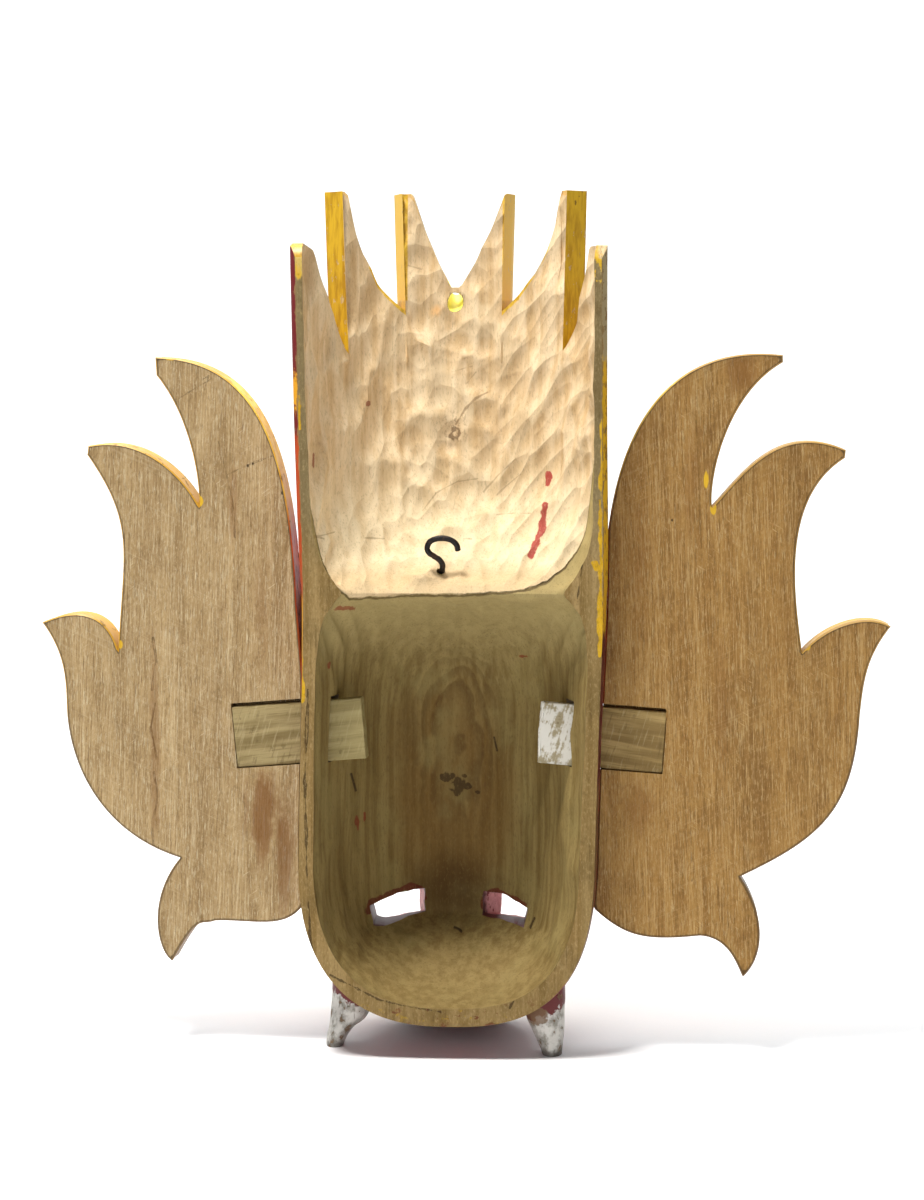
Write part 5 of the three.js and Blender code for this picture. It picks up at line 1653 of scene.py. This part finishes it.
BOARD_CRACKS = {
    1: [
        ([(217, 442), (224, 470), (231, 500), (234, 538)], 0.25), ([(226, 475), (250, 464), (272, 456)], 0.15),
        ([(175, 400), (194, 388), (212, 378)], 0.1), ([(150, 640), (154, 664), (149, 692)], 0.25),
        ([(152, 706), (148, 731), (154, 762)], 0.35),
        ([(151, 775), (155, 800), (149, 832), (153, 862)], 0.2),
        ([(196, 368), (200, 380), (207, 376), (203, 390)], 0.1), ([(193, 385), (198, 392)], 0.1),
        ([(243, 800), (246, 850)], 0.1), ([(130, 560), (131, 600)], 0.05),
    ],
    -1: [
        ([(613, 590), (611, 612)], 0.15), ([(735, 640), (734, 700)], 0.1), ([(690, 800), (692, 880)], 0.1),
        ([(655, 600), (653, 640)], 0.05), ([(742, 900), (744, 960)], 0.1),
    ],
}
BOARD_STAINS = {
    1: [
        (262, 815, 11, 26, 0.75), (284, 850, 6, 34, 0.6), (232, 500, 4, 22, 0.4), (262, 610, 5, 40, 0.25),
        (152, 750, 3, 52, 0.4),
    ],
    -1: [
        (742, 372, 10, 12, 0.5), (638, 812, 9, 14, 0.4), (720, 700, 5, 40, 0.3), (640, 560, 6, 50, 0.25),
        (692, 480, 5, 30, 0.3),
    ],
}
BOARD_HOLES = {
    1: [(247, 466, 0.7), (252, 464, 0.6), (282, 493, 0.8)],
    -1: [(672, 520, 0.6), (612, 730, 0.5)],
}
BOARD_YELLOW = {
    1: [(168, 358, 3.0, 1.3), (198, 502, 2.2, 2.6), (117, 647, 1.5, 2.6)],
    -1: [(706, 480, 1.3, 5), (713, 508, 1.5, 3), (806, 645, 1.8, 2.2)],
}


def board_edge_paint(side):
    """The board's sawn edges: yellow paint at the flames, orange and red towards the root, bare in places."""
    s = Shader(SIDE_NAMES[side] + " board's painted edge", Roughness=0.5, Specular_IOR_Level=0.45)
    x, depth, z = s.place()
    chip = s.noise((5, 5, 8), 4, 0.65, shift=(side, 1, 2))
    brush = s.noise((4, 4, 12), 3, 0.6)
    colour = s.mix(brush.rise(0.35, 0.7), tint(236, 204, 84), tint(214, 166, 44))
    low = (z + (brush - 0.5) * 40).rise(300, 276)
    colour = s.mix(low, colour, s.mix(brush.rise(0.4, 0.6), tint(206, 92, 34), tint(166, 50, 28)))
    outer = (x * side + (brush - 0.5) * 20).rise(112, 124)
    colour = s.mix(outer, colour, tint(196, 150, 50))
    below = (z + (chip - 0.5) * 20).rise(190, 170)
    colour = s.mix(below, colour, tint(120, 92, 52))
    bare = chip.rise(0.6, 0.64).larger(depth.rise(BOARD_DEPTH + 1.3, BOARD_DEPTH + 0.7) * 0.7)
    colour = s.mix(bare * 0.7, colour, tint(104, 76, 40))
    return s.done(colour, bare * 0.2 + 0.45, chip * 0.6 + brush * 0.4, 0.3)


def board_front_paint(side):
    """The board's front: flames shaded from red at the root to yellow at the tips, with yellow ribs."""
    s = Shader(SIDE_NAMES[side] + " board's painted flames", Specular_IOR_Level=0.5, Coat_Weight=0.25)
    x, _, z = s.place()
    patch = s.noise((18, 18, 22), 4, 0.6, shift=(side, 1, 2))
    chip = s.noise((5, 5, 8), 4, 0.68, shift=(3, side, 1))
    way = x * side * 0.012 + z * 0.0016 + (patch - 0.5) * 0.5
    colour = s.mix(way.rise(1.0, 1.7), tint(146, 30, 24), tint(208, 96, 34))
    colour = s.mix(way.rise(1.7, 2.4), colour, tint(226, 172, 50))
    rib = (s.layer("rib") - REACH).rise(-0.6, 0.4)
    colour = s.mix(rib, colour, tint(222, 184, 62))
    border = s.layer("rim_edge").rise(REACH - 5.4, REACH - 4.6)
    colour = s.mix(border, colour, tint(222, 184, 62))
    worn = chip.rise(0.63, 0.66)
    colour = s.mix(worn * 0.8, colour, tint(140, 110, 68))
    return s.done(colour, worn * 0.35 + 0.34, patch * 0.3 + chip * 0.3 - worn * 0.6, 0.3)


def tenon_wood(side):
    """A sawn bar of paler, greener wood, with slanting saw marks. The right one's inner end wears white paint."""
    s = Shader(SIDE_NAMES[side] + " tenon's sawn wood", Roughness=0.72, Specular_IOR_Level=0.25)
    x, _, _ = s.place()
    lean = (0, math.radians(-8 * side), 0)
    fine = s.noise((20, 3, 0.7), 4, 0.6, turn=lean, shift=(side, 2, 1))
    broad = s.noise((60, 8, 4.5), 3, 0.5, turn=lean, shift=(side, 5, 1))
    saw = s.noise((1.3, 6, 14), 3, 0.55, turn=(0, math.radians(16), 0), shift=(1, side, 4))
    mottle = s.noise((6, 6, 6), 3, 0.6)
    if side > 0:
        tones = tint(160, 142, 98), tint(124, 106, 66)
    else:
        tones = tint(166, 140, 88), tint(122, 98, 54)
    colour = s.mix(broad.rise(0.35, 0.65), tones[0], tones[1])
    colour = s.mix(fine.rise(0.5, 0.72) * 0.5, colour, tint(98, 76, 40))
    colour = s.mix(saw.rise(0.56, 0.68) * 0.3, colour, tint(186, 170, 128))
    ridge_mark = saw.rise(0.44, 0.36) * mottle.rise(0.45, 0.6)
    colour = s.mix(ridge_mark * 0.4, colour, tint(84, 66, 36))
    inner = (x * side).rise(68, 63)
    if side > 0:
        colour = s.mix(inner * 0.35, colour, tint(168, 156, 104))
    else:
        smear = (mottle + saw * 0.5).rise(0.7, 0.86)
        white = s.mix(smear, tint(206, 202, 192), tint(150, 138, 110))
        colour = s.mix(inner * (mottle + broad * 0.3 + (x * side).rise(66, 50) * 0.3).rise(0.44, 0.54), colour, white)
    colour = s.mix(mottle.rise(0.66, 0.72) * 0.4, colour, GRIME_AND_SHADE)
    height = fine * 0.4 + saw * 0.6 + mottle * 0.2
    return s.done(colour, fine * 0.15 + 0.62, height, 0.35)


def hook_iron():
    """Blackened wire, rough with old rust, a little brighter where the loop has rubbed."""
    s = Shader("blackened wire", Metallic=0.7, Specular_IOR_Level=0.5)
    pit = s.noise((1.2, 1.2, 1.2), 4, 0.65)
    rust = s.noise((3, 3, 3), 3, 0.6, shift=(4, 1, 2))
    colour = s.mix(rust.rise(0.5, 0.7), tint(34, 31, 30), tint(62, 44, 32))
    colour = s.mix(pit.rise(0.62, 0.75) * 0.6, colour, tint(96, 92, 88))
    return s.done(colour, rust * 0.25 + 0.38, pit, 0.12)


def tusk_paint(side):
    """Silver-white paint on the tusks: grey blotches, dark red where they leave the jaw, worn patches, and tips that
    darken towards the floor.
    """
    s = Shader(SIDE_NAMES[side] + " tusk's silver paint", Specular_IOR_Level=0.5)
    x, _, z = s.place()
    blotch = s.noise((5, 5, 7), 4, 0.65, shift=(side, 2, 1))
    wipe = s.noise((2, 2, 9), 3, 0.6, shift=(side, 7, 4))
    wave = s.noise((3, 3, 3), 2, 0.5) - 0.5
    colour = s.mix(blotch.rise(0.4, 0.62), tint(196, 193, 186), tint(140, 136, 126))
    colour = s.mix(wipe.rise(0.58, 0.7) * 0.6, colour, tint(104, 98, 88))
    # Darker towards the tips, where they meet the floor.
    colour = s.mix((z + wave * 5).rise(4.5, 1.5) * 0.7, colour, tint(70, 62, 52))
    red = (z + wave * 9 + (blotch - 0.5) * 6 + (x.absolute() - 50) * -0.45).rise(22.0, 23.6)
    colour = s.mix(red, colour, tint(92, 22, 20))
    worn = (blotch + wave * 0.5).rise(0.6, 0.64)
    if side < 0:
        patch = s.spot(x, z, seen(538, 1017, 10), 5.2, 4.6) + wave * 1.4
        worn = worn.larger(patch.rise(1.1, 0.9))
    colour = s.mix(worn * 0.8, colour, tint(112, 86, 56))
    height = blotch * 0.6 + wipe * 0.4 - worn * 0.7
    return s.done(colour, worn * 0.3 + blotch * 0.2 + 0.3, height, 0.3, metal=0.25 * (1 - worn))


def tooth_paint():
    """Ivory teeth, a little stained."""
    s = Shader("ivory paint of the teeth", Specular_IOR_Level=0.5, Coat_Weight=0.2)
    blotch = s.noise((4, 4, 6), 4, 0.6)
    colour = s.mix(blotch.rise(0.4, 0.7), tint(232, 224, 198), tint(190, 172, 128))
    return s.done(colour, blotch * 0.2 + 0.3, blotch, 0.15)


def eye_paint():
    """White eyes with a black pupil in a red ring."""
    s = Shader("painted eyes", Specular_IOR_Level=0.55, Coat_Weight=0.4)
    x, _, z = s.place()
    wave = s.noise((2.5, 2.5, 2.5), 2, 0.5) - 0.5
    blotch = s.noise((5, 5, 6), 4, 0.6)
    across = x.absolute() - EYE[0]
    gap = (across * across + (z - EYE[2]) * (z - EYE[2])).sqrt() + wave * 0.8
    colour = s.mix(blotch.rise(0.45, 0.7), tint(236, 230, 212), tint(206, 192, 156))
    colour = s.mix(gap.rise(9.6, 9.0), colour, tint(170, 34, 26))
    colour = s.mix(gap.rise(7.4, 6.8), colour, tint(20, 18, 18))
    return s.done(colour, blotch * 0.15 + 0.22, blotch, 0.12)


def backdrop_paper():
    """White paper with a faint tooth."""
    s = Shader("white paper", Roughness=0.9, Specular_IOR_Level=0.1)
    tooth = s.noise((2.5, 2.5, 2.5), 1, 0.5)
    return s.done(s.mix(tooth, tint(246, 247, 248), tint(250, 250, 250)), 0.88)


def length(name, description, default):
    """A size in metres that shows four decimals."""
    return bpy.props.FloatProperty(
        name=name, description=description, default=default, unit="LENGTH", subtype="DISTANCE", precision=4,
    )


class MaskSizes(bpy.types.PropertyGroup):
    """What can be changed about the look without changing the measured object."""

    gouge_width: length("Gouge width", "Width of a gouge stroke in the crown", 0.0105)
    gouge_length: length("Gouge length", "Length of a gouge stroke in the crown", 0.038)
    gouge_depth: length("Gouge depth", "Depth of a gouge stroke in the crown", 0.0038)
    facet_depth: length("Facet depth", "Depth of the facets in the face hollow", 0.0015)
    board_step: length("Board net", "Spacing of the points on a board's faces", 0.0019)
    wire_sides: bpy.props.IntProperty(name="Wire sides", description="Sides of the hook's round wire", default=18)
    key_light: bpy.props.FloatProperty(
        name="Key light", description="Power of the light above and behind the camera", default=43, unit="POWER",
    )
    sky_light: bpy.props.FloatProperty(
        name="Sky light", description="Brightness of the light from all round", default=0.12,
    )


class MASK_OT_block(bpy.types.Operator):
    """Carve the mask's block: face, hollows and crown"""

    bl_idname = "mask.block"
    bl_label = "Carved block"

    def execute(self, context):
        points, faces, slots, layers = block_shell()
        materials = [front_paint(), hollow_wood(), rim_wood(), crown_cut_paint(), slot_paint()]
        block = mesh_object("carved_block", points, faces, materials, slots, layers)
        bores = [
            hole_cutter(HOLE_RADIUS, *(np.array(HOLE_PLACE) + way * HOLE_RUN for way in (1, -1))),
            hole_cutter(WIRE_RADIUS + 0.2, (6.8, 31, 244.5), (6.85, 20, 260)),
        ]
        rooms = [tenon_box(side, TENON_ROOM, TENON_ROOM_ABOVE) for side in (1, -1)]
        cut_away(block, [slot_cutter(side) for side in (1, -1)] + bores + rooms, SLOT)
        add_piece(block, ["carved_mask"])
        return {"FINISHED"}


class MASK_OT_face(bpy.types.Operator):
    """Set the eyes and the teeth into the carved face"""

    bl_idname = "mask.face"
    bl_label = "Eyes and teeth"

    def execute(self, context):
        eyes = mesh_object("eyes", *eye_balls(), [eye_paint()])
        teeth = mesh_object("teeth", *tooth_rows(), [tooth_paint()])
        for piece in (eyes, teeth):
            add_piece(piece, [])
        return {"FINISHED"}


class MASK_OT_tusks(bpy.types.Operator):
    """Shape the two tusks that the mask stands on"""

    bl_idname = "mask.tusks"
    bl_label = "Tusks"

    def execute(self, context):
        for side in (1, -1):
            tusk = mesh_object(SIDE_NAMES[side] + "_tusk", *tusk_horn(side), [tusk_paint(side)])
            add_piece(tusk, [])
        return {"FINISHED"}


class MASK_OT_boards(bpy.types.Operator):
    """Saw the two flame boards, with a recess behind for each tenon"""

    bl_idname = "mask.boards"
    bl_label = "Flame boards"

    def execute(self, context):
        step = context.scene.mask_sizes.board_step / MM
        for side in (1, -1):
            points, faces, slots, layers = board_shell(side, step)
            materials = [board_wood(side), board_front_paint(side), board_edge_paint(side)]
            board = mesh_object(SIDE_NAMES[side] + "_board", points, faces, materials, slots, layers)
            cut_away(board, [tenon_box(side, TENON_ROOM, TENON_ROOM_ABOVE)], 0)
            add_piece(board, [SIDE_NAMES[side] + "_flame_board"])
        return {"FINISHED"}


class MASK_OT_tenons(bpy.types.Operator):
    """Saw the two tenons that hold the boards"""

    bl_idname = "mask.tenons"
    bl_label = "Tenons"

    def execute(self, context):
        for side in (1, -1):
            bar = mesh_object(SIDE_NAMES[side] + "_tenon_bar", *tenon_bar(side), [tenon_wood(side)])
            add_piece(bar, [SIDE_NAMES[side] + "_tenon"])
        return {"FINISHED"}


class MASK_OT_hook(bpy.types.Operator):
    """Bend the wire hook over the ledge"""

    bl_idname = "mask.hook"
    bl_label = "Hook"

    def execute(self, context):
        sides = context.scene.mask_sizes.wire_sides
        wire = mesh_object("wire_hook", *swept(hook_line(), WIRE_RADIUS, sides, 110), [hook_iron()])
        add_piece(wire, ["hanging_hook"])
        return {"FINISHED"}


class MASK_OT_stage(bpy.types.Operator):
    """Set up the white sweep, the lights and the camera"""

    bl_idname = "mask.stage"
    bl_label = "Stage"

    def execute(self, context):
        scene, sizes = context.scene, context.scene.mask_sizes
        turn = np.linspace(0, np.pi / 2, 24)
        bend = np.stack([-1.2 - 0.9 * np.sin(turn), 0.9 - 0.9 * np.cos(turn)], 1)
        run = np.concatenate([[[2.6, 0]], bend, [[-2.1, 3.2]]])
        points = np.stack(np.broadcast_arrays(np.array([-3.5, 3.5])[None], run[:, :1], run[:, 1:]), -1)
        number = np.arange(2 * len(run)).reshape(len(run), 2)
        sweep = mesh_object("paper_sweep", points.reshape(-1, 3), quads(number), [backdrop_paper()], flip=False)
        world = bpy.data.worlds.new("Bright room")
        world.use_nodes = True
        sky = world.node_tree.nodes["Background"]
        sky.inputs["Color"].default_value = (0.97, 0.985, 1.0, 1.0)
        sky.inputs["Strength"].default_value = sizes.sky_light
        scene.world = world
        for name, at, aim, wide, power, colour in LIGHTS:
            lamp = bpy.data.lights.new(name, "AREA")
            lamp.shape, lamp.size, lamp.size_y = "RECTANGLE", wide[0], wide[1]
            lamp.energy, lamp.color = power * sizes.key_light, colour
            holder = bpy.data.objects.new(name, lamp)
            holder.location = at
            holder.rotation_euler = (Vector(aim) - Vector(at)).to_track_quat("-Z", "Y").to_euler()
            scene.collection.objects.link(holder)
        lens = bpy.data.cameras.new("Camera")
        lens.sensor_fit, lens.sensor_height = "VERTICAL", 36
        lens.lens = 36 * FOCAL / PHOTO[1]
        lens.clip_start, lens.clip_end = 0.05, 20
        eye = bpy.data.objects.new("Camera", lens)
        eye.location = CAMERA_PLACE
        eye.rotation_euler = (Vector(CAMERA_TARGET) - Vector(CAMERA_PLACE)).to_track_quat("-Z", "Y").to_euler()
        scene.collection.objects.link(eye)
        scene.camera = eye
        scene.view_settings.view_transform = "Standard"
        scene.view_settings.look = "None"
        scene.view_settings.exposure = 0.0
        return {"FINISHED"}


# name, place, aim, size, share of the key power, colour
LIGHTS = [
    ("Ceiling light", (0.42, 0.46, 1.9), (0, 0.0, 0.2), (0.36, 0.36), 1.0, (1.0, 0.985, 0.96)),
    ("Window light", (0.6, 2.2, 0.7), (0, 0, 0.2), (1.2, 1.0), 0.2, (0.97, 0.985, 1.0)),
    ("Backdrop light", (0, -0.5, 2.4), (0, -1.1, 0.0), (3.2, 1.2), 1.5, (0.97, 0.99, 1.0)),
]

STEPS = ["stage", "block", "face", "tusks", "boards", "tenons", "hook"]


class MASK_PT_panel(bpy.types.Panel):
    """The mask's steps and sizes"""

    bl_idname = "MASK_PT_panel"
    bl_label = "Carved demon mask"
    bl_space_type = "VIEW_3D"
    bl_region_type = "UI"
    bl_category = "Mask"

    def draw(self, context):
        for step in STEPS:
            self.layout.operator("mask." + step)
        for name in MaskSizes.__annotations__:
            self.layout.prop(context.scene.mask_sizes, name)


CLASSES = [
    MaskSizes, MASK_OT_block, MASK_OT_face, MASK_OT_tusks, MASK_OT_boards, MASK_OT_tenons, MASK_OT_hook,
    MASK_OT_stage, MASK_PT_panel,
]


def register():
    for each in CLASSES:
        bpy.utils.register_class(each)
    bpy.types.Scene.mask_sizes = bpy.props.PointerProperty(type=MaskSizes)


def unregister():
    del bpy.types.Scene.mask_sizes
    for each in reversed(CLASSES):
        bpy.utils.unregister_class(each)


def main():
    register()
    for step in STEPS:
        getattr(bpy.ops.mask, step)()


if __name__ == "__main__":
    main()
